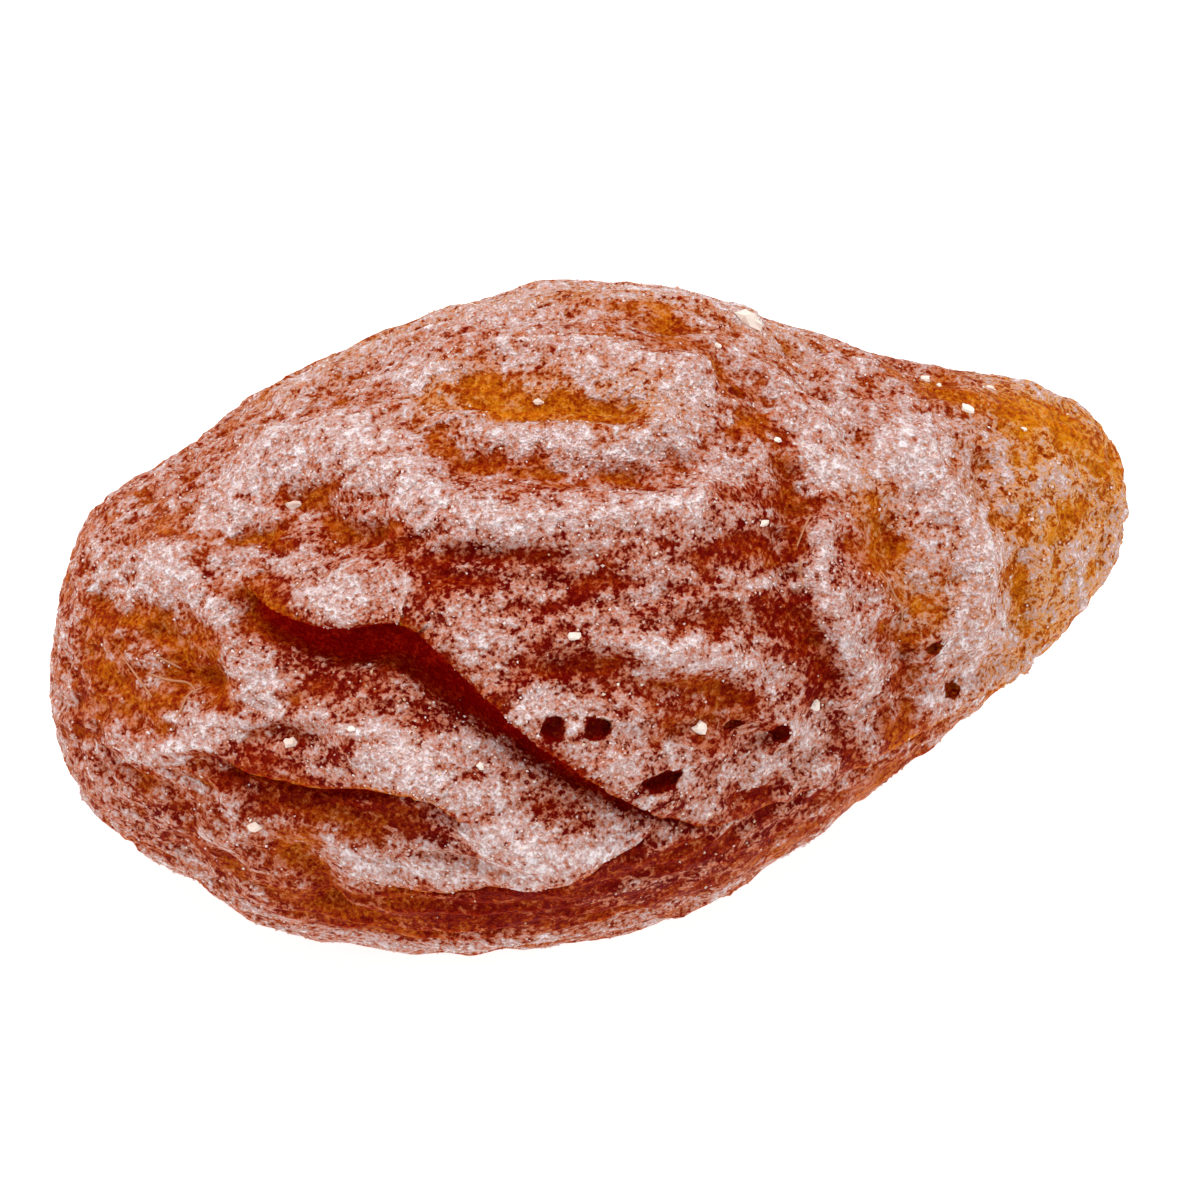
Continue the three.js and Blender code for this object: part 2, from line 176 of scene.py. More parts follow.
CREASES = [  # height (a hollow is below 0), width, path on the face
    (0.55, 0.9,
     [[-10, 3.6], [-8.4, 4.5], [-6.4, 4.7], [-5, 3.7], [-4, 2.9], [-1, 2.7], [2, 2.7], [4.6, 3.9]]),
    (0.4, 0.7, [[-5, 6.2], [-3.4, 7.1], [-1, 7.2], [1.4, 6.9], [2.8, 6.4], [3, 5.6]]),
    (0.3, 0.7, [[-4.6, 5.4], [-3, 5.1], [-1, 5.1], [1.6, 5.1], [3, 5.4]]),
    (-0.3, 0.7, [[-4, 6.1], [-2.4, 6.1], [-0.6, 5.9], [1.6, 5.7]]),
    (-0.3, 0.6, [[-4.4, 4.7], [-2.8, 4.2], [-1, 4], [1, 3.8], [2.8, 4.4], [4.4, 5.4]]),
    (-0.4, 0.5, [[3.2, 6.9], [4.4, 6.6], [4.7, 5.6]]),
    (0.35, 0.7, [[-12.8, 1], [-11.8, 1.6], [-10.4, 1], [-9.7, -0.8], [-9, -2.2]]),
    (-0.4, 0.5, [[-8.3, 3.4], [-7.3, 3], [-6.5, 2.3], [-5.2, 2.3]]),
    (-0.3, 0.35, [[-9.8, 2.2], [-8.5, 2.3]]),
    (-0.35, 0.5, [[-12, 0], [-11.3, -0.7], [-10.8, -1.5], [-9.8, -1.8]]),
    (0.35, 0.7, [[-9, -2.2], [-10.2, -3.1], [-12.2, -3.4], [-13.4, -3.2]]),
    (0.5, 0.9, [[-7.4, -2.6], [-5, -3.7], [-3.2, -4.9], [-1.8, -6.1], [0.6, -6.3]]),
    (-0.25, 0.4, [[-10, -3.6], [-9, -3.3], [-8, -3.1], [-7.2, -3.3], [-6.6, -3.8]]),
    (-0.35, 0.5, [[-8.2, -6.2], [-7.5, -7.1], [-7.1, -8.2]]),
    (-0.28, 0.5, [[-5, 1.9], [-3.8, 1.5], [-2.6, 1.8], [-1.2, 1.6], [0.6, 1.5]]),
    (-0.25, 0.4, [[-2.2, 0.3], [-0.8, 0.5], [0.8, 0.5], [2.6, 0.7]]),
    (0.35, 0.45, [[0.4, -0.6], [2, -0.9], [3.6, -1], [5, -1.7]]),
    (-0.28, 0.5, [[-1.6, -1.2], [0.2, -1.6], [2, -1.9], [4.4, -2.2]]),
    (-0.3, 0.35, [[1.8, -3.4], [3.2, -3], [5.2, -3.3]]),
    (0.45, 0.7, [[7.4, 4.6], [8.8, 4.4], [10, 3], [10.8, 1.6], [10.7, 0.2], [10.4, -1]]),
    (0.3, 0.45, [[6.8, 2.8], [6.3, 1.9], [6.5, 0.8], [6.8, -0.4], [7.5, -2]]),
    (-0.4, 0.5, [[5.2, 4.6], [5.5, 3.3], [5.2, 1.8], [5.6, 0], [6.3, -1.2], [6.3, -2.2], [6.9, -3.8]]),
    (-0.4, 0.5, [[8, 3.4], [8.2, 2], [9, 0.6], [8.4, -0.6], [8.8, -2], [8.4, -3.2]]),
    (-0.35, 0.55, [[10.6, 4.9], [11.3, 3], [11.8, 1.2], [11.9, -0.6]]),
    (0.3, 0.6, [[-1, 8.6], [2.6, 8.5], [4.8, 8.1]]),
    (-0.4, 0.7, [[5.6, 7.6], [6.4, 6.2], [7.6, 5.8]]),
]
BACK_CREASES = [
    (0.5, 1.0, [[-11, 0.4], [-6.4, 1.2], [-1.2, 0.6], [4.4, 1.6], [9, 2.2]]),
    (-0.5, 0.6, [[-9.6, -1.6], [-4.6, -1], [0.8, -1.8], [6.6, -0.4]]),
    (0.4, 0.7, [[7, 4.4], [9, 3], [9.4, 0.8]]),
    (-0.4, 0.6, [[-12.2, 2.4], [-10.6, 3.6], [-8.2, 5.4]]),
]


def even_line(path, side):
    """A smooth line through a stroke's points, laid on the smooth lump, in equal steps."""
    knots = smooth_points(directions_on(path, side))
    knots = np.vstack([2 * knots[0] - knots[1], knots, 2 * knots[-1] - knots[-2]])
    fine = []
    for p0, p1, p2, p3 in zip(knots, knots[1:], knots[2:], knots[3:]):
        gap = [max(np.linalg.norm(b - a) ** 0.5, 1e-4) for a, b in ((p0, p1), (p1, p2), (p2, p3))]
        leave = ((p1 - p0) / gap[0] - (p2 - p0) / (gap[0] + gap[1]) + (p2 - p1) / gap[1]) * gap[1]
        reach = ((p2 - p1) / gap[1] - (p3 - p1) / (gap[1] + gap[2]) + (p3 - p2) / gap[2]) * gap[1]
        t = np.linspace(0, 1, PATH_STEPS, endpoint=False)[:, None]
        cube, square = 2 * p1 - 2 * p2 + leave + reach, -3 * p1 + 3 * p2 - 2 * leave - reach
        fine.append(((cube * t + square) * t + leave) * t + p1)
    fine = np.vstack([*fine, knots[-2]])
    length = np.concatenate([[0], np.cumsum(np.linalg.norm(np.diff(fine, axis=0), axis=1))])
    steps = np.linspace(0, length[-1], PATH_STEPS + 1)
    return np.column_stack([np.interp(steps, length, fine[:, i]) for i in range(3)])


def off_line(line, places):
    """Distance to a line, share along it, nearest point on it and its heading there, for each place."""
    start, run = line[:-1], np.diff(line, axis=0)
    share = np.einsum("pij,ij->pi", places[:, None] - start, run) / (run**2).sum(1)
    share = np.clip(share, 0, 1)
    feet = start + share[..., None] * run
    distance = np.linalg.norm(places[:, None] - feet, axis=2)
    best = distance.argmin(1)
    rows = np.arange(len(places))
    heading = run[best] / np.linalg.norm(run[best], axis=1, keepdims=True)
    return distance[rows, best], (best + share[rows, best]) / len(run), feet[rows, best], heading


def smoothstep(values, low, high):
    t = np.clip((values - low) / (high - low), 0, 1)
    return t * t * (3 - 2 * t)


def fade(share, line):
    """Full strength along the middle of a stroke, nothing at its ends."""
    length = np.linalg.norm(np.diff(line, axis=0), axis=1).sum()
    return smoothstep(np.minimum(share, 1 - share), 0, min(END_FADE["share"], END_FADE["most"] / length))


def near_line(line, places, reach):
    """Numbers of the places inside a stroke's box, grown by its reach."""
    inside = (places > line.min(0) - reach) & (places < line.max(0) + reach)
    return np.flatnonzero(inside.all(1))


def astray(places, by=STRAY["by"], lump=STRAY["lump"]):
    """The places as a stroke sees them: moved a little to and fro, so that its edges wander."""
    return places + by * np.column_stack([wander(places, lump, seed) for seed in STRAY_SEEDS])


def crease_heights(strokes, side, places):
    heights = np.zeros(len(places))
    for height, width, path in strokes:
        line = even_line(path, side)
        near = near_line(line, places, width * MARK_REACH)
        distance, share, _, _ = off_line(line, places[near])
        heights[near] += fade(share, line) * height * np.exp(-((distance / width) ** 2))
    return heights


def fold_moves(strokes, side, places, normals):
    """How far the laps move each place, and how far it lies in the channel under a lip and on its edge."""
    moves, depths, edges = np.zeros_like(places), np.zeros(len(places)), np.zeros(len(places))
    for widths, step, path in strokes:
        line = even_line(path, side)
        near = near_line(line, places, max(widths) * MARK_REACH)
        distance, share, foot, heading = off_line(line, places[near])
        width = curve_through(widths, share)
        across = side * np.cross(normals[near], heading)
        across /= np.linalg.norm(across, axis=1, keepdims=True)
        aside = np.einsum("ij,ij->i", across, places[near] - foot)
        place = np.sign(aside) * distance / width
        roll = place / STEP_REACH
        rise = step * np.sqrt(width / max(widths)) * roll * np.exp((1 - roll**2) / 2)
        station = (np.clip(place, -1, 1) + 1) / 2
        inside = np.abs(place) < 1
        shift = np.where(inside, curve_through(FOLD_ACROSS, station) - place, 0) * width
        drop = np.where(inside, curve_through(FOLD_UP, station), 0) * width * GAP_DEPTH
        strength = fade(share, line)
        moves[near] += (strength * shift)[:, None] * across
        moves[near] += (strength * (rise + drop))[:, None] * normals[near]
        # The channel reading marks where the powder is lost and where the finish paints dark red shade under
        # the lip.
        start, full, still, end = CHANNEL
        channel = smoothstep(place, start, full) * (1 - smoothstep(place, still, end))
        open_here = smoothstep(strength, *CHANNEL_STRENGTH) * smoothstep(width, *CHANNEL_WIDTH)
        depths[near] = np.maximum(depths[near], open_here * channel)
        edges[near] = np.maximum(edges[near], open_here * np.exp(-(((place - LIP[0]) / LIP[1]) ** 2)))
    return moves, depths, edges


seen = astray(bare)
relief = crease_heights(CREASES, 1, seen) + crease_heights(BACK_CREASES, -1, seen)
face_moves, face_gaps, face_edges = fold_moves(OVERLAPS, 1, bare, outward)
back_moves, back_gaps, back_edges = fold_moves(BACK_OVERLAPS, -1, bare, outward)
# How far each place lies in a channel under a lip: the powder stays out of it, and the finish paints it dark
# red as shade.
gap_depth_and_painted_shade = np.maximum(face_gaps, back_gaps)
lip_edge = np.maximum(face_edges, back_edges)


# The skin between the folds: low lumps all over, and fine wrinkles drawn out along the pull.
LUMPS = [(4.5, 0.18), (1.7, 0.13), (0.8, 0.07)]  # size and height, in mm
LUMP_SEED = 40.3
WRINKLES = [(0.75, 0.17), (0.4, 0.06)]  # width and height, in mm
WRINKLE_SEED = 60.7
WRINKLE_STRETCH = (7, 1, 1)  # how much longer than wide a wrinkle is

crests = np.zeros(len(bare))
for seed, (size, height) in enumerate(LUMPS):
    crests += height * wander(bare, size, LUMP_SEED + seed)
for seed, (size, height) in enumerate(WRINKLES):
    ridge = 1 - 2 * np.abs(wander(seen, size, WRINKLE_SEED + seed, WRINKLE_STRETCH))
    crests += height * (ridge - 0.5)
relief += crests


# Where the powdered sugar holds: on ridges and lips, thin in the hollows and gone from the gaps. The
# strokes are its thick drifts (above 0) and the places that were rubbed bare (below 0).
DUST_STROKES = [  # strength, width, path on the face
    # The left end.
    (0.5, 0.5, [[-14.4, -1], [-14.5, -2.4]]),
    (0.7, 0.55, [[-13.4, -3.2], [-12.2, -3.4], [-11.3, -3.6], [-10.4, -3.1]]),
    (0.9, 0.7, [[-12.8, 1.1], [-11.6, 1.3], [-10.5, 1], [-10.1, 0.2]]),
    (0.5, 0.4, [[-11.4, 2.2], [-10.8, 2.4]]),
    (0.6, 0.4, [[-10.8, 1.6], [-10.4, 1.1], [-9.8, 0.8]]),
    (0.8, 0.4, [[-10.4, 2.7], [-9.7, 2.8], [-8.9, 2.7]]),
    (0.9, 0.55, [[-10.1, 0.3], [-9.7, -0.8], [-9.2, -1.9], [-8.7, -2.4], [-9.8, -3]]),
    (0.8, 0.4, [[-9.8, -1.2], [-9.4, -1.9], [-8.8, -2.4]]),
    (-0.5, 0.6, [[-14.4, 0.8], [-14, 2.2], [-13.2, 3]]),
    (-0.5, 0.4, [[-14.2, 0.2], [-13.8, 1.2], [-13.4, 2.2]]),
    (-0.6, 0.5, [[-14, -3], [-13.4, -2.6]]),
    (-1.0, 0.45, [[-13.4, 0.2], [-12.2, 0], [-11.4, -0.6], [-10.9, -1.4], [-9.9, -1.8]]),
    (-0.9, 0.4, [[-13.4, -1.2], [-12.8, -1.7], [-12.2, -2.3], [-11.2, -2.1]]),
    (-0.4, 1.2, [[-12.8, 0.6], [-13.4, -1.4], [-12.2, -3.6]]),
    (-0.5, 0.5, [[-12.2, 2.4], [-11.2, 2.6]]),
    (-0.9, 0.3, [[-11.5, 2.2], [-10.4, 2.1]]),
    (-0.8, 0.35, [[-10.9, -6], [-10.5, -6.5], [-9.8, -7]]),
    (-0.5, 0.4, [[-10.6, 3.2], [-10.4, 3.8]]),
    (-0.5, 0.45, [[-10.6, 0.2], [-10.4, -0.8]]),
    (-0.5, 0.5, [[-10.3, -0.8], [-9.9, -1.6]]),
    (-1.0, 0.4, [[-10.2, -4.3], [-9.2, -4.2], [-8.6, -4.8]]),
    (-0.5, 0.4, [[-10, -0.4], [-9.9, -1.8]]),
    (-1.5, 0.5, [[-10, 0.7], [-9.3, 0.3], [-8.7, -0.1]]),
    # The top, with the brow and its ring.
    (1.2, 0.8, [[-9.8, 3.9], [-8.4, 4.4], [-7, 4.7], [-6, 4.5], [-5, 3.7], [-4.1, 2.9], [-2.9, 2.4]]),
    (0.4, 0.4, [[-8.6, 3.6], [-7.2, 3.9]]),
    (0.35, 1.1, [[-8, 6.6], [-4, 8.1], [0, 8.9], [4, 8.6]]),
    (0.6, 0.4, [[-5.8, 6.8], [-5.2, 6.6]]),
    (0.8, 0.35, [[-5.1, 6.2], [-4.5, 6.6], [-3.9, 6.4]]),
    (0.5, 0.5, [[-5, 7], [-3.4, 7]]),
    (0.7, 0.35, [[-4.8, 5.5], [-3.8, 5.6], [-3, 5.2], [-1, 5.1], [0.6, 4.9], [2.2, 5.2]]),
    (1.1, 0.5, [[-3, 4.9], [-2, 4.8], [-0.6, 4.6], [0.6, 4.5], [1.6, 4.6]]),
    (0.3, 1.4, [[-3, 8.6], [3, 8.8]]),
    (0.95, 0.5, [[-2.4, 7.2], [-1, 7.3], [0.4, 7.2], [1.4, 6.8]]),
    (1.0, 0.55, [[-1.6, 7.0], [-0.4, 6.9], [0.9, 6.8]]),
    (0.95, 0.5, [[1.6, 5.8], [2.3, 6], [2.9, 6.7], [2.8, 5.6]]),
    (0.6, 0.5, [[2.6, 8.6], [3.6, 8.3], [4.4, 8]]),
    (0.6, 0.5, [[2.8, 4.6], [3.1, 5.4], [2.9, 6]]),
    (1.1, 0.4, [[4, 8.2], [4.7, 8.2], [5.2, 8]]),
    (-0.3, 1.2, [[-11.4, 5], [-9.4, 6.6], [-6.6, 7.9]]),
    (-0.7, 0.3, [[-6.8, 3.6], [-6, 3.2]]),
    (-0.5, 0.4, [[-6.8, 5.9], [-5.8, 5.3]]),
    (-0.5, 0.4, [[-5.4, 7], [-4.6, 7.2]]),
    (-1.2, 0.32, [[-4.2, 4.7], [-3.3, 4.3], [-1.7, 4.3], [-0.8, 3.9]]),
    (-1.2, 0.5, [[-3.8, 6.1], [-2.9, 6.3], [-2.2, 5.8], [-1.2, 6], [-0.2, 5.7], [1.4, 5.6]]),
    (-0.6, 0.4, [[-3.7, 3.5], [-2.6, 3.4], [-0.6, 3.5]]),
    (-0.6, 0.35, [[-3, 5.6], [-2, 5.5], [-1.3, 5.6]]),
    (-0.7, 0.4, [[-2.8, 5.5], [-1.4, 5.4]]),
    (-0.9, 0.25, [[0, 3.7], [1.4, 4], [2.8, 4.4]]),
    (-0.6, 0.4, [[1, 8.6], [2, 8.1], [2.7, 7.1]]),
    (-1.0, 0.28, [[3.1, 5], [3.9, 5.2], [4.5, 5.5]]),
    (-0.8, 0.35, [[3.3, 6.9], [3.9, 6.3], [4.5, 6.6]]),
    # The belly, down to the main lap.
    (0.8, 0.35, [[-10, 1.7], [-9, 1.6], [-8.2, 1.4]]),
    (0.4, 0.5, [[-9.4, 1.6], [-8.6, 1.3]]),
    (0.9, 0.5, [[-7.5, 0.6], [-6.4, 0.6], [-5.3, 0.7]]),
    (0.9, 0.5, [[-6.8, 0.5], [-5.8, 0.5], [-5.3, 1]]),
    (0.7, 0.4, [[-4.4, -0.5], [-3.4, -0.9], [-2.4, -1.2]]),
    (0.5, 0.4, [[-2.4, 1.2], [-1, 1]]),
    (1.0, 0.55, [[-2.2, 2.8], [-0.6, 2.8], [1, 2.7], [2.4, 2.9], [3.2, 3.9], [4, 4.4]]),
    (0.9, 0.4, [[-1.9, -2.5], [-1.1, -2.1], [-0.4, -2.3]]),
    (0.95, 0.4, [[0.6, -0.6], [1.8, -0.9], [3, -1], [4, -1.1], [5, -1.7]]),
    (0.9, 0.4, [[1.1, -3.1], [0.9, -3.9], [0.6, -4.3], [1.4, -4.8]]),
    (0.8, 0.3, [[1.7, 1], [2.5, 1.4]]),
    (0.7, 0.4, [[3.4, -5.4], [3, -4.8], [3.6, -4.3], [5, -4.1], [6.2, -3.6]]),
    (-1.2, 0.25, [[-9.5, 2.2], [-8.6, 2.3]]),
    (-1.0, 0.35, [[-9.4, 2.2], [-8.6, 2.3], [-8, 2.1]]),
    (-0.8, 0.4, [[-9, 0.8], [-8.1, 0.5]]),
    (-0.6, 0.35, [[-8.4, 0.7], [-7.6, 0.6]]),
    (-1.0, 0.4, [[-8.1, 3.4], [-7.4, 3.4], [-7, 2.6], [-6.1, 2.2], [-5.2, 2.3]]),
    (-0.9, 0.55, [[-4.9, 1.8], [-4, 1.5], [-2.7, 1.8], [-1.3, 1.6]]),
    (-0.9, 0.35, [[-4.4, 0.8], [-3, 0.9]]),
    (-0.6, 0.4, [[-3.6, 0.2], [-3.3, 0.5]]),
    (-0.9, 0.35, [[-2, 0.3], [-1, 0.5], [0.6, 0.6]]),
    (-0.5, 0.4, [[-1.6, -0.4], [0.4, -0.4]]),
    (-0.9, 0.45, [[-1.4, -1.2], [-0.5, -1.4], [0.4, -1.5]]),
    (-0.6, 0.35, [[-1, -0.5], [0, -0.8]]),
    (-0.7, 0.3, [[0, 1.8], [0.5, 1.4], [1, 1.6]]),
    (-0.7, 0.3, [[0.1, -4.4], [0.8, -4.8]]),
    (-0.6, 0.5, [[0.4, -3.8], [1, -4.6], [1.4, -5.2]]),
    (-0.9, 0.4, [[0.6, -1.6], [1.6, -2], [3, -1.9], [4.4, -2.3]]),
    (-0.9, 0.25, [[0.7, -0.1], [1.6, -0.2]]),
    (-0.8, 0.35, [[1.9, -3.2], [3.6, -2.9], [4.2, -3.1]]),
    (-0.5, 0.4, [[2, -3.4], [3.2, -3.2]]),
    (-0.5, 0.4, [[2.2, 1.8], [3.2, 1.2]]),
    (-0.8, 0.28, [[2.4, -0.3], [3.4, 0], [4.4, 0.5], [5.2, 0.1]]),
    (-1.2, 0.4, [[3.1, 1.8], [4.1, 1.9], [4.8, 1.7]]),
    (-0.6, 0.45, [[3.2, -5.2], [4.2, -5.2], [4.8, -4.6]]),
    # Below the main lap.
    (0.6, 0.4, [[-8.7, -1.6], [-8.4, -2.4]]),
    (0.5, 0.5, [[-8.5, -8.7], [-5, -9.1], [-1, -8.9]]),
    (0.9, 0.55, [[-7.5, -2.6], [-6.4, -3], [-5.2, -3.6], [-4, -4.2], [-3.2, -4.7]]),
    (0.85, 0.5, [[-6.8, -6.5], [-5.9, -6.9], [-4.8, -6.7], [-3.7, -6.9]]),
    (0.8, 0.35, [[-6, -8.9], [-3.6, -9.2], [0, -8.8], [3.4, -8.2], [6, -6.6]]),
    (0.8, 0.8, [[-4.4, -5.3], [-2.9, -5.4], [-1.8, -6.1], [-0.4, -6.4], [0.8, -6.2]]),
    (0.4, 0.8, [[-3.6, -6], [-1.6, -6.1], [0.4, -5.9]]),
    (0.9, 0.5, [[-2.5, -4.6], [-2, -5.3], [-1.2, -5.7]]),
    (-0.35, 1.1, [[-11.8, -5], [-10.4, -6.6], [-8.6, -7.6], [-6, -8.4]]),
    (-0.5, 0.4, [[-9.6, -3.6], [-8.6, -3.9], [-7.8, -4.2]]),
    (-0.7, 0.25, [[-9.3, -3.3], [-8.2, -3.2], [-7.3, -3.3], [-6.7, -3.8]]),
    (-0.9, 0.4, [[-9, -5.1], [-7.6, -5.2], [-6.2, -5.2], [-5, -5.4], [-4.2, -5.9]]),
    (-1.0, 0.5, [[-8.4, -6.4], [-7.6, -7], [-7.2, -7.9], [-6.4, -8.4]]),
    (-0.6, 0.5, [[-8.3, -2.2], [-7.2, -2.4], [-6.6, -3.3]]),
    (-0.8, 0.9, [[-8, -8], [-5.4, -8.6], [-2, -8.5], [2, -7.7], [5, -6.4], [8, -4.6]]),
    (-0.5, 0.4, [[-8, -6.2], [-7.2, -6.3]]),
    (-0.6, 0.5, [[-7.8, -2], [-6.6, -2.2], [-6, -1.8]]),
    (-0.45, 0.55, [[-7.8, -1.2], [-6.4, -1.5], [-5.2, -2], [-4.2, -2.9]]),
    (-0.8, 0.45, [[-7.4, -5.3], [-5.6, -5.5], [-4.2, -5.8]]),
    (-0.5, 0.5, [[-6, -8], [-3, -8.3], [0, -8]]),
    (-0.9, 0.35, [[-5.2, -7.5], [-3.6, -7.4], [-2, -7.2], [-0.6, -6.9], [0.6, -6.5], [1.8, -6]]),
    (-1.3, 0.55, [[-5, -8], [-2.4, -7.9], [-1, -7.6], [0.4, -7.3], [1.8, -6.8], [3.4, -6.4]]),
    (-0.6, 0.3, [[-4.8, -7.3], [-3.8, -7.2]]),
    (-0.6, 0.4, [[-4.6, -5.2], [-4, -5.4], [-3.4, -6]]),
    (-1.3, 0.5, [[-2.8, -7.5], [-1.2, -7.2], [0, -6.8], [0.8, -6.4]]),
    (-0.5, 0.3, [[-2.2, -4.5], [-1.2, -5], [-0.2, -5.5]]),
    (-1.2, 0.4, [[0.6, -7.1], [1.8, -6.7], [2.9, -6.3], [4, -6.3]]),
    (-0.8, 0.4, [[3.6, -5.7], [4.5, -5.5], [5.4, -5.8]]),
    # The neck and the collar.
    (0.5, 0.5, [[4.6, -3.7], [5.6, -3.6], [6.2, -4]]),
    (0.8, 0.45, [[5.2, 5.6], [6.2, 5.4], [7, 5.6]]),
    (0.5, 0.5, [[5.8, 3.6], [6.6, 3.4]]),
    (0.9, 0.55, [[6, 4.5], [7, 4.4], [7.8, 4.3]]),
    (0.3, 0.9, [[6, 6.4], [8, 6], [9.6, 5]]),
    (0.8, 0.5, [[6, 3.9], [6.6, 3.8], [7.2, 4]]),
    (0.9, 0.4, [[6.7, 2.7], [6.3, 1.9], [6.4, 1], [6.8, 0.3], [6.7, -0.4]]),
    (0.7, 0.5, [[7.2, -0.9], [7.6, -1.6], [7.4, -3]]),
    (0.8, 0.3, [[7.2, 0.8], [7.7, 0.4]]),
    (0.4, 0.4, [[7.6, 7], [9.4, 6.8]]),
    (0.45, 1.3, [[8.2, 4.6], [9.6, 3], [10.2, 0.8], [10, -1.4]]),
    (0.5, 0.5, [[8.2, 3.3], [8.8, 3]]),
    (-1.1, 0.35, [[4, -4.7], [4.8, -5], [5.8, -5.1], [6.8, -4.9]]),
    (-1.0, 0.4, [[5, 4.6], [5.5, 4.1], [5.2, 3.3], [5.8, 3], [6.7, 3]]),
    (-1.2, 0.32, [[5, -2.9], [5.2, -3.4]]),
    (-0.9, 0.3, [[5.2, -0.6], [5.5, -1.2]]),
    (-1.2, 0.45, [[5.6, 0], [6.1, -0.5], [6.3, -1.2], [6.3, -2.1]]),
    (-0.5, 0.4, [[5.8, -0.8], [6, -1.6]]),
    (-0.7, 0.35, [[5.8, 2.6], [5.5, 1.4]]),
    (-0.5, 0.45, [[6.8, 1], [7.4, 0.8]]),
    (-1.0, 0.32, [[6.9, -3.1], [7, -3.7]]),
    (-0.8, 0.3, [[7.2, 7.2], [8.2, 6.9], [9, 6.7]]),
    (-0.9, 0.4, [[7.2, 1.8], [7.8, 1.5], [8.6, 2]]),
    (-0.9, 0.35, [[7.3, 3.4], [8, 3.5], [8, 2.8]]),
    (-0.5, 0.5, [[7.8, 6], [9.4, 5.6]]),
    (-1.0, 0.32, [[8, 0.1], [8.3, -0.5], [9.3, -0.8]]),
    (-1.1, 0.35, [[8.2, -3.2], [8.6, -2.9], [8.7, -1.9]]),
    (-0.5, 0.4, [[8.3, -1.8], [8.5, -2.8]]),
    (-1.1, 0.45, [[8.5, 0.9], [9, 0.5], [9.6, 0.2]]),
    # The tail.
    (1.0, 0.6, [[8.3, 5], [8.9, 4.2], [9.6, 3.2], [10.4, 2.5], [10.8, 1.2], [10.6, 0.2], [10.5, -0.9]]),
    (0.5, 0.4, [[11.3, 1.2], [11.4, 0.2], [11.2, -1.1], [10.2, -1.2]]),
    (0.5, 0.4, [[11.4, 4.1], [12.6, 3.9], [13.4, 3.8]]),
    (0.5, 0.5, [[12, -0.4], [12.8, -0.9]]),
    (0.5, 0.4, [[12.2, 3.6], [12.8, 3.3]]),
    (0.7, 0.4, [[12.3, 1.9], [13, 1.8], [13.6, 1.6]]),
    (0.5, 0.4, [[12.6, 0.4], [13.4, 0.2]]),
    (-1.4, 0.7, [[9.4, 6.3], [11, 5.9], [12, 5.8], [13, 5.5], [13.9, 4.9], [14.5, 4.1]]),
    (-0.4, 0.5, [[11.2, 2.4], [11.3, 0.6]]),
    (-0.5, 0.4, [[11.2, 1.2], [11.2, 0.6]]),
    (-0.8, 0.3, [[11.2, 2.7], [12, 2.3], [12.9, 2.4]]),
    (-1.0, 0.4, [[11.4, 1.4], [12, 0.8], [12, 0], [11.8, -0.9]]),
    (-0.3, 1.6, [[11.5, 4.5], [13, 3], [13, 1]]),
    (-0.7, 0.3, [[13.2, 3.2], [13.7, 2.8]]),
]
DUST_EVENLY = 0.47  # how much settles everywhere
DUST_ON_CREST = 0.5  # what each mm of the fine relief adds
DUST_PER_STROKE = 0.4
DUST_RAGGED = {"by": 0.3, "lump": 0.6}  # how the edges of the drifts wander, in mm
DUST_IN_STROKE = {"least": -0.65, "most": 0.36}  # what the strokes together take away or add
DUST_PATCHES = [(1.6, 0.15), (0.6, 0.24), (0.28, 0.3)]  # size in mm and strength
PATCH_SEED = 80.9
DUST_STREAK = 2.6  # how much longer than wide a patch is, along the pull or round the neck
NECK = (5.5, 7.5)  # U where the patches start to turn, and where all run round the neck
DUST_EDGE = (-0.08, 1.08)  # the sum of all these where the powder starts and where it covers the skin
DUST_LOST = {"in a gap": 1.0, "on a lip": 0.4}

# The powder makes a thin crust of its own where it lies.
CRUST = {"height": 0.07, "lump": 0.34, "lumpiness": 0.6}
CRUST_SEED = 5.5


def drawn(strokes, places, seen):
    """Sum at each place of soft strokes, read where the places are seen."""
    total = np.zeros(len(places))
    for strength, width, path in strokes:
        line = even_line(path, 1)
        near = near_line(line, places, width * MARK_REACH)
        distance, _, _, _ = off_line(line, seen[near])
        total[near] += strength * np.exp(-((distance / width) ** 2))
    return total


def dust_on(places, crests, gaps, edges):
    """Share of the skin that powdered sugar covers at each place, from 0 to 1."""
    ragged = astray(astray(places, by=DUST_RAGGED["by"]), **DUST_RAGGED)
    drift = DUST_PER_STROKE * drawn(DUST_STROKES, places, ragged)
    dust = DUST_EVENLY + DUST_ON_CREST * crests
    dust -= DUST_LOST["in a gap"] * gaps + DUST_LOST["on a lip"] * edges
    dust += np.clip(drift, DUST_IN_STROKE["least"], DUST_IN_STROKE["most"])
    round_the_neck = smoothstep(places[:, 0], *NECK)
    for seed, (size, strength) in enumerate(DUST_PATCHES):
        along = wander(places, size, PATCH_SEED + seed, (DUST_STREAK, 1, 1))
        across = wander(places, size, PATCH_SEED + seed, (1, DUST_STREAK, DUST_STREAK))
        dust += strength * (along + (across - along) * round_the_neck)
    return smoothstep(dust, *DUST_EDGE)


BUBBLES = [  # place on the face and half sizes along U and V: air that was folded in and broke through
    ((-0.95, -3), (0.34, 0.33)), ((0.22, -3), (0.42, 0.34)), ((1.95, -4.4), (0.62, 0.25)),
    ((5.15, -3.15), (0.3, 0.3)), ((3.85, -2.9), (0.28, 0.15)), ((9.95, -2), (0.29, 0.24)),
    ((4.05, 6.15), (0.24, 0.2)), ((9.4, -0.85), (0.24, 0.2)),
]
RIM = {"off": 0.1, "wide": 0.16, "dust": 0.2}  # the pale edge round each


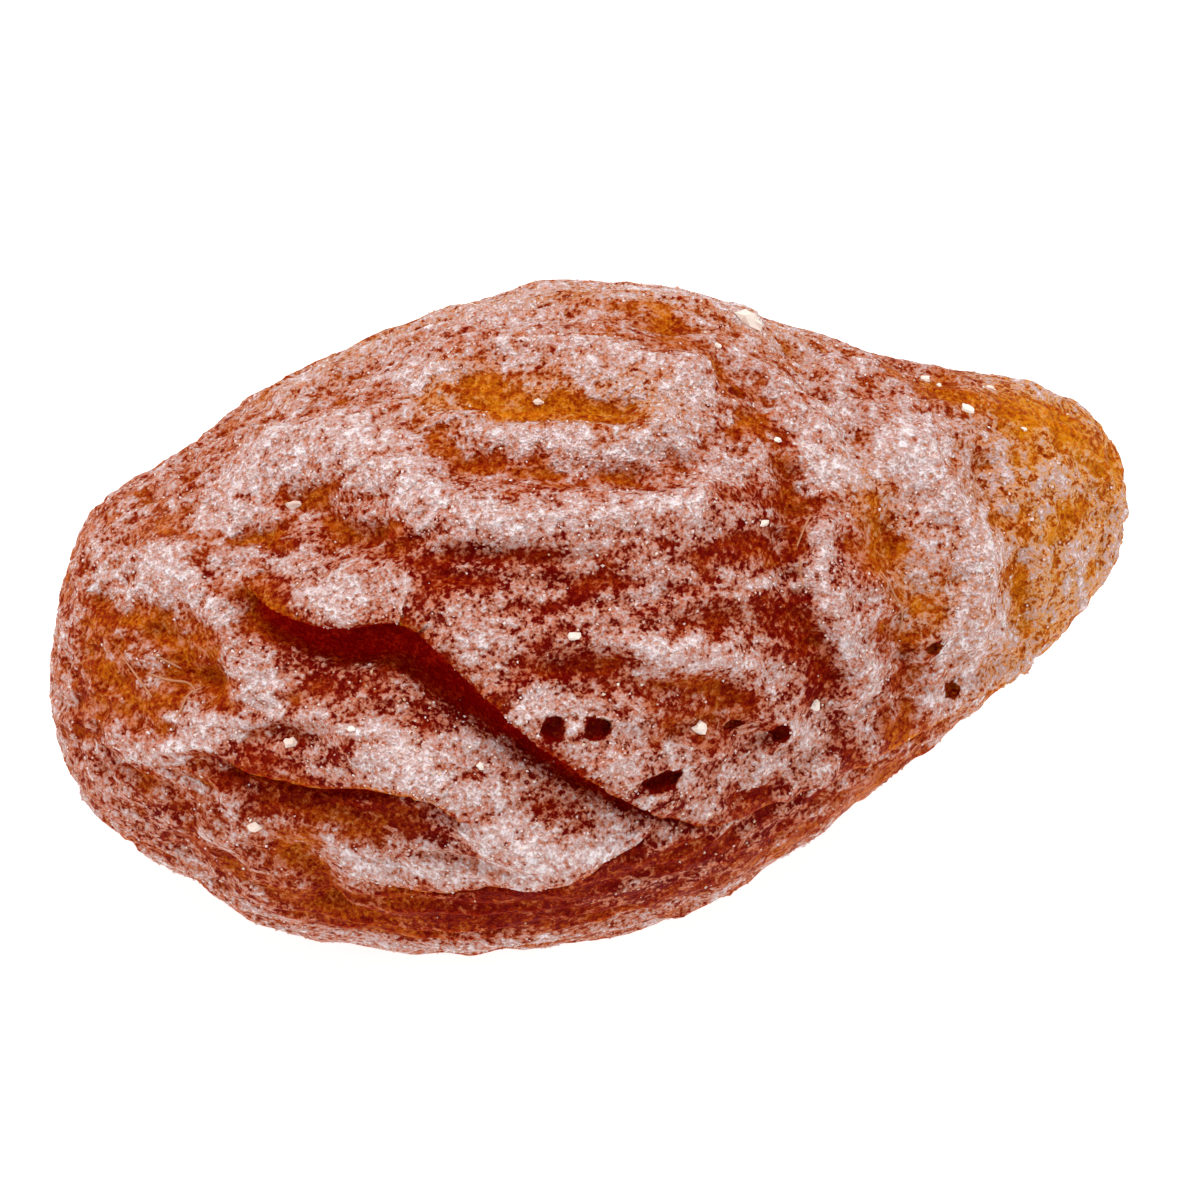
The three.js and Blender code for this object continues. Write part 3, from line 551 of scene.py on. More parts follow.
def rims_on(places):
    """The powder that clings round the bubbles."""
    rims = np.zeros(len(places))
    for at, half in BUBBLES:
        centre = smooth_points(directions_on([at], 1))[0]
        reach = (np.linalg.norm(places - centre, axis=1) - max(half) - RIM["off"]) / RIM["wide"]
        rims = np.maximum(rims, RIM["dust"] * np.exp(-(reach**2)))
    return rims


dust = np.clip(dust_on(bare, crests, gap_depth_and_painted_shade, lip_edge) + rims_on(bare), 0, 1)
crust = dust * CRUST["height"] * (1 + CRUST["lumpiness"] * wander(bare, CRUST["lump"], CRUST_SEED))
relief += crust
relief -= relief.mean()
skin = bare + face_moves + back_moves + relief[:, None] * outward

# How clear the sugar looks: red in the thick heart of the lump, amber round it and yellow out in the tail.
# The strokes also paint light: the top skin, the ring and the collar lighter and the belly darker, as the
# light from above falls on them.
CLEARNESS_AND_LIGHT_STROKES = [  # how much clearer (or duller, below 0), width, path on the face
    # The strokes below 0 make the sugar darker red, partly for the thick heart, partly as painted shade on
    # the belly.
    (-0.4, 2.4, [[-7, -0.4], [-3, -2], [0.5, -4.5], [3.5, -5.5]]),
    (-0.35, 2.2, [[-3, 1], [1, 0.6], [4.6, 1.6], [6, -1.5], [6.4, -3.4]]),
    (-0.4, 2.0, [[-3, -8], [1, -7.2], [4.5, -5.5]]),
    (-0.3, 0.7, [[-9.6, -4.9], [-8, -5], [-6, -5.1], [-4.6, -5.6], [-3.6, -6.3]]),
    (-0.15, 2.0, [[-13, -4.6], [-10.4, -6.6], [-7, -8]]),
    # The strokes above 0 make the ring hollow, the top and the collar lighter: partly thin sugar, partly
    # painted light from above.
    (0.16, 1.2, [[-4, 6.1], [-1.4, 6], [1.6, 5.7]]),
    (0.12, 1.6, [[-8, 6.6], [-4, 8.4], [0, 8.9], [5, 8]]),
    (0.14, 1.2, [[7.4, 3.6], [8.2, 1.8], [8.9, 0.2]]),
    (-0.3, 0.8, [[-10, -3.7], [-8.5, -3.7], [-7, -3.8]]),
]
CLEAR_RANGE = {"least": 0.22, "most": 0.9}
CLEAR_EVENLY = 0.6
LIP_CLEARER = 0.35  # for light comes through the thin edge of a lip
TAIL = {"from": 8.5, "to": 14.0, "clearer by": 0.34}

clear = CLEAR_EVENLY + drawn(CLEARNESS_AND_LIGHT_STROKES, bare, bare)
clear += TAIL["clearer by"] * smoothstep(bare[:, 0], TAIL["from"], TAIL["to"])
clear = np.clip(clear, CLEAR_RANGE["least"], CLEAR_RANGE["most"]) + LIP_CLEARER * lip_edge

GLINT_STROKES = [  # where bare crystals catch the light
    (1.0, 0.8, [[-5.6, -2], [-4.6, -2.8], [-3.6, -3.7]]),
    (0.6, 0.6, [[-7.6, -1.1], [-6.4, -1.6]]),
    (1.0, 0.5, [[9.2, 6.6], [10.4, 6.1], [11.4, 6.2]]),
    (0.5, 0.6, [[2.4, -5.2], [3.4, -6.2], [5, -6]]),
]
GLINT_EVENLY = 0.05
glint = (GLINT_EVENLY + drawn(GLINT_STROKES, bare, seen)) * (1 - gap_depth_and_painted_shade)

# In the row's frame, on its resting flat, with the middle of its base where the solid's is.
skin = skin @ np.array(TO_ROW.to_3x3()).T
skin[:, 2] = np.maximum(skin[:, 2], FLAT_LEVEL)
low, high = skin.min(0), skin.max(0)
shift = -np.array([(low[0] + high[0]) / 2, (low[1] + high[1]) / 2, low[2]])
solid_low, solid_high = (np.array(corner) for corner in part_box("candy"))
stands_at = np.array([*(solid_low + solid_high)[:2] / 2, solid_low[2]])
skin = (skin + shift) * MM + stands_at


def sugar_mesh(name, points, faces, **values):
    """A smooth mesh that carries the four readings its finish goes by."""
    mesh = bpy.data.meshes.new(name)
    mesh.from_pydata(points.tolist(), [], faces.tolist())
    mesh.shade_smooth()
    for label in ("dust", "gap", "clear", "glint"):
        numbers = np.broadcast_to(values[label], len(points)).astype(np.float32)
        mesh.attributes.new(label, "FLOAT", "POINT").data.foreach_set("value", numbers)
    return mesh


# The gap reading keeps the powder out of the channels and paints them dark red as shade in the finish.
skin_mesh = sugar_mesh("boiled_sugar", skin, ball_quads, dust=dust, gap=gap_depth_and_painted_shade, clear=clear, glint=glint)
candy = bpy.data.objects.new("boiled_sugar", skin_mesh)
bpy.context.scene.collection.objects.link(candy)
skin_tree = BVHTree.FromPolygons(skin.tolist(), ball_quads.tolist())
CLEAR_ABOVE = 3  # mm, higher than any part of the skin stands over the smooth lump


def dropped(places):
    """Where places over the face come down on the finished skin, along W, and the skin's normals there."""
    to_row = np.array(TO_ROW.to_3x3())
    starts = ((places + [0, 0, CLEAR_ABOVE]) @ to_row.T + shift) * MM + stands_at
    found = [skin_tree.ray_cast(Vector(start), Vector(-to_row[:, 2])) for start in starts]
    return [spot for spot, _, _, _ in found], [normal for _, normal, _, _ in found]


def on_skin(path):
    """Points of the finished skin under [U, V] points drawn on the face, and their normals."""
    return dropped(smooth_points(directions_on(path, 1)))


def face_axes(normal):
    """Unit axes along the lump, up its face and out of its skin, as rows."""
    upward = normal.cross(Vector((1, 0, 0))).normalized()
    return np.array([upward.cross(normal), upward, normal])


# The pits that the burst bubbles left, each cut with a flattened ball.
PIT_CELLS = 7
PIT_RAGGED = 0.35  # how uneven their edges are
PIT_LUMP = 0.7  # size of the unevenness, in half sizes
PIT_SUNK = 0.15  # of its half size, so that the rim is a little undercut
PIT_DEPTH = 0.7  # of the mean of its half sizes
PIT_PAINTED_SHADE = 0.22  # how much less clear the sugar looks in a pit: painted shade, a darker red down in the hole
PIT_DUST = -0.6  # below 0, so that the film starts at the rim

pit_ball, pit_quads = cube_ball(PIT_CELLS)
spots, normals = on_skin([at for at, _ in BUBBLES])
for seed, (spot, normal, (_, (half_u, half_v))) in enumerate(zip(spots, normals, BUBBLES)):
    sizes = np.array([half_u, half_v, PIT_DEPTH * (half_u + half_v) / 2])
    ragged = pit_ball * (1 + PIT_RAGGED * wander(pit_ball, PIT_LUMP, seed))[:, None]
    points = (ragged * sizes) @ face_axes(normal) * MM + np.array(spot - PIT_SUNK * half_v * MM * normal)
    # Painted shade: the sugar in each pit is coloured a darker red than the skin round it.
    pit_clear_with_shade = clear[np.linalg.norm(skin - np.array(spot), axis=1).argmin()] - PIT_PAINTED_SHADE
    pit_mesh = sugar_mesh("burst_bubble", points, pit_quads, dust=PIT_DUST, gap=0, clear=pit_clear_with_shade, glint=0)
    pit = bpy.data.objects.new("burst_bubble", pit_mesh)
    bpy.context.scene.collection.objects.link(pit)
    cut = candy.modifiers.new("cut", "BOOLEAN")
    cut.operation, cut.solver, cut.object = "DIFFERENCE", "MANIFOLD", pit
    opened = bpy.data.meshes.new_from_object(candy.evaluated_get(bpy.context.evaluated_depsgraph_get()))
    candy.modifiers.clear()
    candy.data = opened
    bpy.data.objects.remove(pit)
skin_mesh = candy.data
skin_mesh.name = "boiled_sugar"
skin_mesh.materials.clear()

# Its finish: clear sugar, deep red where it is thick and yellow where it is thin, with painted shade as a
# darker red in the channels under the lips and in the pits, and powdered sugar over it as a dull, pale,
# faintly pink film that thins out to nothing.
BODY_COLOURS = [  # clearness, colour
    (0.0, (0.14, 0.001, 0.0002, 1)),
    (0.3, (0.24, 0.012, 0.0005, 1)),
    (0.55, (0.36, 0.052, 0.0015, 1)),
    (0.8, (0.49, 0.11, 0.002, 1)),
    (1.0, (0.64, 0.20, 0.004, 1)),
]
# The channel under a lip: the deep red of thick sugar, darkened as painted shade where the lip hangs over
# it.
CHANNEL_SHADE_DARKER = (0.36, 0.0008, 0.0004, 1)
CHANNEL_SHADE_PALER = (0.6, 0.016, 0.002, 1)
GAP_GRAIN = {"counts": (1.0, 0.8, 0.2), "dark at": 0.45, "light at": 0.8}
CHANNEL_SHADE_EDGE = (0.1, 0.8)  # reading of the gap where its painted shade, a deep red, starts and is full

# The fine patterns, in cells a metre, and how much each counts in the sugar's clearness and the film.
PATTERNS = {"mottle": 900, "clumps": 2600, "specks": 8000, "grains": 8500}
CLEAR_COUNTS = (0.6, 1.0, 1.1, 0.4)
FILM_COUNTS = (0.4, 2.1, 1.3, 0.5)
FILM_STEADY = {"dust": 0.45, "least": 0.5}  # with less dust than this the film is less uneven
FILM_OFF_GAP = 0.5  # how much thinner it is in a gap

THIN_FILM = (0.12, 0.52)  # thickness of the film where it first shows and where its own shade is full
THIN_OVER_RED = (0.55, 0.18, 0.10, 1)
THIN_OVER_GOLD = (0.74, 0.34, 0.11, 1)
GOLD_FROM = (0.55, 0.95)  # clearness where the sugar starts to be gold and is all gold
POWDER_TONES_AND_GRAIN_SHADE = [  # thickness of the film where a tone starts and is full, and the tone
    # The first, a grey-lilac, is partly the powder's thinner film and partly painted shade among its grains;
    # the second is the powder's own white.
    ((0.4, 0.9), (0.62, 0.39, 0.355, 1)),
    ((0.8, 1.5), (0.95, 0.83, 0.84, 1)),
]

# Thickness of the film that counts as bare skin and as powder, and what each of the two is like.
ROUGHNESS = (0.1, 0.6, 0.35, 0.95)
LIGHT_WITHIN = (0.1, 0.9, 0.4, 0.1)  # share of the light that is scattered in the sugar
WITHIN_RADIUS = (1.0, 0.3, 0.08)  # how far red, green and blue light go, in depths
WITHIN_DEPTH = 0.0006  # m
BUMP_HEIGHT = 0.0001  # m
BUMP_SPECKS = 0.4  # how much the specks stand up beside the film


def new_material(name):
    material = bpy.data.materials.new(name)
    material.use_nodes = True
    tree = material.node_tree
    return material, tree.nodes, tree.links, tree.nodes["Principled BSDF"]


def noise_node(nodes, links, places, scale, detail, roughness):
    node = nodes.new("ShaderNodeTexNoise")
    node.inputs["Scale"].default_value = scale
    node.inputs["Detail"].default_value = detail
    node.inputs["Roughness"].default_value = roughness
    links.new(places, node.inputs["Vector"])
    return node.outputs["Fac"]


def grains_node(nodes, links, places, scale):
    """A random number for each of the small cells, about a grain across, that the space is broken into."""
    node = nodes.new("ShaderNodeTexVoronoi")
    node.inputs["Scale"].default_value = scale
    links.new(places, node.inputs["Vector"])
    parts = nodes.new("ShaderNodeSeparateColor")
    links.new(node.outputs["Color"], parts.inputs["Color"])
    return parts.outputs["Red"]


def maths(nodes, links, operation, a, b):
    node = nodes.new("ShaderNodeMath")
    node.operation = operation
    for socket, value in zip(node.inputs, (a, b)):
        if isinstance(value, (int, float)):
            socket.default_value = value
        else:
            links.new(value, socket)
    return node.outputs["Value"]


def ranged(nodes, links, value, low, high, to_low=0.0, to_high=1.0):
    node = nodes.new("ShaderNodeMapRange")
    node.interpolation_type = "SMOOTHSTEP"
    links.new(value, node.inputs["Value"])
    for name, number in (("From Min", low), ("From Max", high), ("To Min", to_low), ("To Max", to_high)):
        node.inputs[name].default_value = number
    return node.outputs["Result"]


def mixed(nodes, links, share, a, b):
    node = nodes.new("ShaderNodeMix")
    node.data_type = "RGBA"
    links.new(share, node.inputs["Factor"])
    for socket, value in ((node.inputs["A"], a), (node.inputs["B"], b)):
        if isinstance(value, tuple):
            socket.default_value = value
        else:
            links.new(value, socket)
    return node.outputs["Result"]


def attribute(nodes, name):
    node = nodes.new("ShaderNodeAttribute")
    node.attribute_name = name
    return node.outputs["Fac"]


amber, nodes, links, shader = new_material("dusted_amber")
places = nodes.new("ShaderNodeTexCoord").outputs["Object"]


def uneven(start, patterns, counts):
    """A start, made uneven by patterns, each taken about its middle and times how much it counts."""
    total = start
    for pattern, count in zip(patterns, counts):
        part = maths(nodes, links, "MULTIPLY", maths(nodes, links, "SUBTRACT", pattern, 0.5), count)
        total = maths(nodes, links, "ADD", total, part)
    return total


mottle = noise_node(nodes, links, places, PATTERNS["mottle"], 1.0, 1.0)
clumps = noise_node(nodes, links, places, PATTERNS["clumps"], 2.0, 0.8)
specks = noise_node(nodes, links, places, PATTERNS["specks"], 1.0, 0.9)
grains = grains_node(nodes, links, places, PATTERNS["grains"])
patterns = (mottle, clumps, specks, grains)

gap = attribute(nodes, "gap")
clear_here = attribute(nodes, "clear")
clearness = uneven(clear_here, patterns, CLEAR_COUNTS)
ramp = nodes.new("ShaderNodeValToRGB")
while len(ramp.color_ramp.elements) < len(BODY_COLOURS):
    ramp.color_ramp.elements.new(0.5)
for stop, (position, colour) in zip(ramp.color_ramp.elements, BODY_COLOURS):
    stop.position, stop.color = position, colour
links.new(clearness, ramp.inputs["Fac"])
gap_grain = uneven(0.5, patterns[1:], GAP_GRAIN["counts"])
gap_grain = ranged(nodes, links, gap_grain, GAP_GRAIN["dark at"], GAP_GRAIN["light at"])
channel_shade_red = mixed(nodes, links, gap_grain, CHANNEL_SHADE_DARKER, CHANNEL_SHADE_PALER)
# Painted shade: the body turns deep, dark red in the channel under each lip.
body = mixed(nodes, links, ranged(nodes, links, gap, *CHANNEL_SHADE_EDGE), ramp.outputs["Color"], channel_shade_red)

dusted = attribute(nodes, "dust")
steadiness = ranged(nodes, links, dusted, 0.0, FILM_STEADY["dust"], FILM_STEADY["least"], 1.0)
unevenness = maths(nodes, links, "MULTIPLY", uneven(0.0, patterns, FILM_COUNTS), steadiness)
film = maths(nodes, links, "ADD", dusted, unevenness)
film = maths(nodes, links, "SUBTRACT", film, maths(nodes, links, "MULTIPLY", gap, FILM_OFF_GAP))
thin_film = mixed(nodes, links, ranged(nodes, links, clear_here, *GOLD_FROM), THIN_OVER_RED, THIN_OVER_GOLD)
colour = body
for (start, full), shade in [(THIN_FILM, thin_film)] + POWDER_TONES_AND_GRAIN_SHADE:
    colour = mixed(nodes, links, ranged(nodes, links, film, start, full), colour, shade)
links.new(colour, shader.inputs["Base Color"])
links.new(ranged(nodes, links, film, *ROUGHNESS), shader.inputs["Roughness"])
links.new(ranged(nodes, links, film, *LIGHT_WITHIN), shader.inputs["Subsurface Weight"])
shader.inputs["Subsurface Radius"].default_value = WITHIN_RADIUS
shader.inputs["Subsurface Scale"].default_value = WITHIN_DEPTH
shader.inputs["Specular IOR Level"].default_value = 0.02

bumps = nodes.new("ShaderNodeBump")
bumps.inputs["Distance"].default_value = BUMP_HEIGHT
links.new(uneven(film, [specks], [BUMP_SPECKS]), bumps.inputs["Height"])
links.new(bumps.outputs["Normal"], shader.inputs["Normal"])
skin_mesh.materials.append(amber)

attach(candy, "root")
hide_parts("candy")


# The powder itself: fine grains of sugar that lie thickest in the drifts, and a few larger crystals that
# stuck on while the skin was soft. Each grain is a small eight-sided crystal, half sunk in the skin.
CRYSTAL_SIDES = 4
CRYSTAL_SQUASHED = ((0.6, 0.6, 0.6), (1.3, 1.3, 1.3))  # least and most of each of its sizes


def grain_tree():
    """Geometry nodes that scatter crystals over a skin, thickest where one of its readings is highest."""
    tree = bpy.data.node_groups.new("scattered_crystals", "GeometryNodeTree")
    sockets = {"Skin": "Geometry", "Where": "String", "Gathering": "Float", "Per square metre": "Float",
               "Smallest": "Float", "Largest": "Float", "Seed": "Int", "Sugar": "Material"}
    for label, kind in sockets.items():
        tree.interface.new_socket(label, in_out="INPUT", socket_type="NodeSocket" + kind)
    tree.interface.new_socket("Crystals", in_out="OUTPUT", socket_type="NodeSocketGeometry")
    given = tree.nodes.new("NodeGroupInput").outputs

    dust_here = tree.nodes.new("GeometryNodeInputNamedAttribute")
    dust_here.data_type = "FLOAT"
    tree.links.new(given["Where"], dust_here.inputs["Name"])
    thicker = tree.nodes.new("ShaderNodeMath")
    thicker.operation = "POWER"
    tree.links.new(given["Gathering"], thicker.inputs[1])
    density = tree.nodes.new("ShaderNodeMath")
    density.operation = "MULTIPLY"
    tree.links.new(dust_here.outputs["Attribute"], thicker.inputs[0])
    tree.links.new(thicker.outputs[0], density.inputs[0])
    tree.links.new(given["Per square metre"], density.inputs[1])

    spots = tree.nodes.new("GeometryNodeDistributePointsOnFaces")
    tree.links.new(given["Skin"], spots.inputs["Mesh"])
    tree.links.new(density.outputs[0], spots.inputs["Density"])
    tree.links.new(given["Seed"], spots.inputs["Seed"])

    crystal = tree.nodes.new("GeometryNodeMeshUVSphere")
    crystal.inputs["Segments"].default_value = CRYSTAL_SIDES
    crystal.inputs["Rings"].default_value = 2
    crystal.inputs["Radius"].default_value = 0.5

    def random_value(kind, low, high, shift):
        node = tree.nodes.new("FunctionNodeRandomValue")
        node.data_type = kind
        low_at, high_at, out_at = {"FLOAT": (2, 3, 1), "FLOAT_VECTOR": (0, 1, 0)}[kind]
        for at, value in ((low_at, low), (high_at, high)):
            if isinstance(value, (float, tuple)):
                node.inputs[at].default_value = value
            else:
                tree.links.new(value, node.inputs[at])
        offset = tree.nodes.new("FunctionNodeIntegerMath")
        tree.links.new(given["Seed"], offset.inputs[0])
        offset.inputs[1].default_value = shift
        tree.links.new(offset.outputs[0], node.inputs["Seed"])
        return node.outputs[out_at]

    size = random_value("FLOAT", given["Smallest"], given["Largest"], 1)
    shape = random_value("FLOAT_VECTOR", *CRYSTAL_SQUASHED, 2)
    turn = random_value("FLOAT_VECTOR", (0, 0, 0), (math.tau, math.tau, math.tau), 3)
    scale = tree.nodes.new("ShaderNodeVectorMath")
    scale.operation = "SCALE"
    tree.links.new(shape, scale.inputs[0])
    tree.links.new(size, scale.inputs["Scale"])

    placed = tree.nodes.new("GeometryNodeInstanceOnPoints")
    tree.links.new(spots.outputs["Points"], placed.inputs["Points"])
    tree.links.new(crystal.outputs["Mesh"], placed.inputs["Instance"])
    tree.links.new(turn, placed.inputs["Rotation"])
    tree.links.new(scale.outputs["Vector"], placed.inputs["Scale"])
    toned = tree.nodes.new("GeometryNodeStoreNamedAttribute")
    toned.data_type, toned.domain = "FLOAT", "INSTANCE"
    toned.inputs["Name"].default_value = "tone"
    tree.links.new(placed.outputs["Instances"], toned.inputs["Geometry"])
    tree.links.new(random_value("FLOAT", 0.0, 1.0, 4), toned.inputs["Value"])
    real = tree.nodes.new("GeometryNodeRealizeInstances")
    tree.links.new(toned.outputs["Geometry"], real.inputs["Geometry"])
    coloured = tree.nodes.new("GeometryNodeSetMaterial")
    tree.links.new(real.outputs["Geometry"], coloured.inputs["Geometry"])
    tree.links.new(given["Sugar"], coloured.inputs["Material"])
    out = tree.nodes.new("NodeGroupOutput")
    tree.links.new(coloured.outputs["Geometry"], out.inputs["Crystals"])
    return tree


def scattered(name, tree, **values):
    """A piece of its own, a plain mesh, of the crystals that the tree scatters over the skin."""
    host = bpy.data.objects.new(name + "_host", skin_mesh.copy())
    bpy.context.scene.collection.objects.link(host)
    scatter = host.modifiers.new("scatter", "NODES")
    scatter.node_group = tree
    for item in tree.interface.items_tree:
        if item.in_out == "INPUT" and item.name.replace(" ", "_").lower() in values:
            scatter[item.identifier] = values[item.name.replace(" ", "_").lower()]
    shown = host.evaluated_get(bpy.context.evaluated_depsgraph_get())
    mesh = bpy.data.meshes.new_from_object(shown)
    mesh.name = name
    mesh.materials.clear()
    mesh.materials.append(values["sugar"])
    bpy.data.objects.remove(host)
    grains = bpy.data.objects.new(name, mesh)
    bpy.context.scene.collection.objects.link(grains)
    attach(grains, "root")


GRAIN_TAN = (0.66, 0.34, 0.25, 1)
GRAIN_WHITE = (0.84, 0.72, 0.69, 1)
CRYSTAL_AMBER = (0.62, 0.30, 0.12, 1)
CRYSTAL_WHITE = (0.92, 0.84, 0.74, 1)


def grain_material(name, dark, light, roughness, specular):
    material, nodes, links, shader = new_material(name)
    links.new(mixed(nodes, links, attribute(nodes, "tone"), dark, light), shader.inputs["Base Color"])
    shader.inputs["Roughness"].default_value = roughness
    shader.inputs["Specular IOR Level"].default_value = specular
    return material


powdered_sugar = grain_material("powdered_sugar", GRAIN_TAN, GRAIN_WHITE, 0.7, 0.2)
clear_sugar = grain_material("sugar_crystal", CRYSTAL_AMBER, CRYSTAL_WHITE, 0.1, 0.9)
crystals = grain_tree()
PER_MM2 = 1e6
scattered("powder_grains", crystals, where="dust", gathering=2.5, per_square_metre=42 * PER_MM2,
          smallest=0.04 * MM, largest=0.12 * MM, seed=7, sugar=powdered_sugar)
scattered("sugar_crystals", crystals, where="glint", gathering=1.0, per_square_metre=5 * PER_MM2,
          smallest=0.04 * MM, largest=0.13 * MM, seed=19, sugar=clear_sugar)


# Threads of drawn sugar that dried onto the skin, lighter than what they lie on.
THREADS = [
    [[-11.9, -1], [-11.5, -1.2], [-11.1, -1.4]],
    [[-12.1, -1.5], [-11.5, -1.7], [-10.9, -1.8], [-10.7, -2]],
    [[-10.5, -1.9], [-10.9, -2.1], [-11.1, -2.5], [-11.3, -2.8]],
    [[-12.8, -1], [-12.5, -1.4], [-12.2, -1.8], [-11.9, -2.2]],
    [[8.1, 1], [8.3, 0.6], [8.5, 0.2], [8.5, -0.2], [8.4, -0.5]],
    [[6, 2.8], [5.8, 2.4], [5.6, 1.9]],
    [[5.7, 1.7], [5.7, 1.2], [5.8, 0.8]],
    [[10.2, 4], [10.5, 3.6], [10.6, 3.2]],
]
THREAD_RADIUS = 0.036  # mm
THREAD_COLOUR = (0.52, 0.21, 0.10, 1)
THREAD_KNOBS = 0.35  # how unevenly thick it is
THREAD_KNOB_LENGTH = 5  # radii
THREAD_SEED = 71.3
THREAD_POINT = 1e-6  # m, the least radius, at its ends
THREAD_STEPS = 20
THREAD_SIDES = 5


def thread(path):
    """Points of a round thread with pointed ends, half sunk in the skin, ring after ring."""
    middle = even_line(path, 1)[:: PATH_STEPS // THREAD_STEPS]
    spots, normals = dropped(middle)
    spots, normals = np.array(spots), np.array(normals)
    heading = np.gradient(spots, axis=0)
    heading /= np.linalg.norm(heading, axis=1, keepdims=True)
    across = np.cross(heading, normals)
    share = np.linspace(-1, 1, len(spots))
    knobs = 1 + THREAD_KNOBS * wander(spots / MM, THREAD_RADIUS * THREAD_KNOB_LENGTH, THREAD_SEED)
    radius = THREAD_RADIUS * MM * knobs * np.sqrt(np.maximum(0, 1 - share**4)) + THREAD_POINT
    turn = np.arange(THREAD_SIDES) / THREAD_SIDES * math.tau
    ring = np.cos(turn)[None, :, None] * across[:, None] + np.sin(turn)[None, :, None] * normals[:, None]
    return (spots[:, None] + radius[:, None, None] * ring).reshape(-1, 3)


def tube_faces(rings, sides, first):
    """Quads round a tube of rings, and its two end faces, numbered from a first point."""
    faces = []
    for ring in range(rings - 1):
        for side in range(sides):
            a, b = ring * sides + side, ring * sides + (side + 1) % sides
            faces.append([first + a, first + b, first + b + sides, first + a + sides])
    faces.append([first + side for side in reversed(range(sides))])
    faces.append([first + (rings - 1) * sides + side for side in range(sides)])
    return faces


points, faces = [], []
for path in THREADS:
    tube = thread(path)
    faces += tube_faces(len(tube) // THREAD_SIDES, THREAD_SIDES, len(points))
    points += tube.tolist()
thread_mesh = bpy.data.meshes.new("sugar_threads")
thread_mesh.from_pydata(points, [], faces)
thread_mesh.shade_smooth()
threads = bpy.data.objects.new("sugar_threads", thread_mesh)
bpy.context.scene.collection.objects.link(threads)
drawn_sugar, _, _, drawn_shader = new_material("drawn_sugar")
drawn_shader.inputs["Base Color"].default_value = THREAD_COLOUR
drawn_shader.inputs["Roughness"].default_value = 0.5
drawn_shader.inputs["Specular IOR Level"].default_value = 0.2
thread_mesh.materials.append(drawn_sugar)
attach(threads, "root")


# Larger crystals and crumbs of sugar that stuck on one by one, and painted highlights on the glassy top of
# the tail.
STUCK_CRUMBS_AND_GLINTS = [  # place on the face, length and width in mm, tone from amber (0) to white (1)
    # The first five, white on the glassy top of the tail, are painted highlights, set where that bare sugar
    # catches the light.
    ((10.4, 5.7), (0.46, 0.3), 1.0), ((9.3, 6.6), (0.3, 0.2), 1.0), ((9.65, 6.4), (0.2, 0.16), 0.9),
    ((11.1, 6.35), (0.26, 0.16), 1.0), ((12, 5.2), (0.2, 0.14), 0.9), ((2.97, -3), (0.42, 0.4), 0.85),
    ((-8.1, -3.4), (0.36, 0.34), 0.7), ((-9.1, -5.7), (0.42, 0.26), 0.7), ((-8.05, 3.05), (0.5, 0.28), 0.6),
    ((-2.95, -4), (0.24, 0.2), 0.95), ((5.1, 4.8), (0.2, 0.2), 1.0), ((3.5, 7.4), (0.2, 0.18), 0.9),
    ((4.7, 2.55), (0.34, 0.22), 0.8), ((-6.4, -3), (0.2, 0.16), 1.0), ((6.1, -2.4), (0.28, 0.4), 0.9),
    ((-1.4, 5.85), (0.24, 0.2), 0.8), ((-0.4, -0.5), (0.36, 0.24), 0.85), ((4.4, 8.15), (0.8, 0.5), 0.85),
]
STUCK_SPREAD = 0.32  # how uneven their corners are
STUCK_CELLS = 2
STUCK_SEED = 11

lump_ball, lump_quads = cube_ball(STUCK_CELLS)
draw = np.random.default_rng(STUCK_SEED)
points, faces, tones = [], [], []
spots, normals = on_skin([at for at, _, _ in STUCK_CRUMBS_AND_GLINTS])
for spot, normal, (_, (length, width), tone) in zip(spots, normals, STUCK_CRUMBS_AND_GLINTS):
    sizes = np.array([length, width, width]) / 2
    bent = lump_ball * (1 + draw.uniform(-STUCK_SPREAD, STUCK_SPREAD, (len(lump_ball), 1)))
    placed = (bent * sizes) @ face_axes(normal) * MM + np.array(spot)
    faces += (lump_quads + len(points)).tolist()
    points += placed.tolist()
    tones += [tone] * len(placed)
stuck_and_glint_mesh = bpy.data.meshes.new("stuck_crystals")
stuck_and_glint_mesh.from_pydata(points, [], faces)
stuck_and_glint_mesh.attributes.new("tone", "FLOAT", "POINT").data.foreach_set("value", np.array(tones, np.float32))
stuck_and_glint_mesh.materials.append(grain_material("stuck_sugar", GRAIN_TAN, CRYSTAL_WHITE, 0.5, 0.4))
stuck = bpy.data.objects.new("stuck_crystals", stuck_and_glint_mesh)
bpy.context.scene.collection.objects.link(stuck)
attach(stuck, "root")


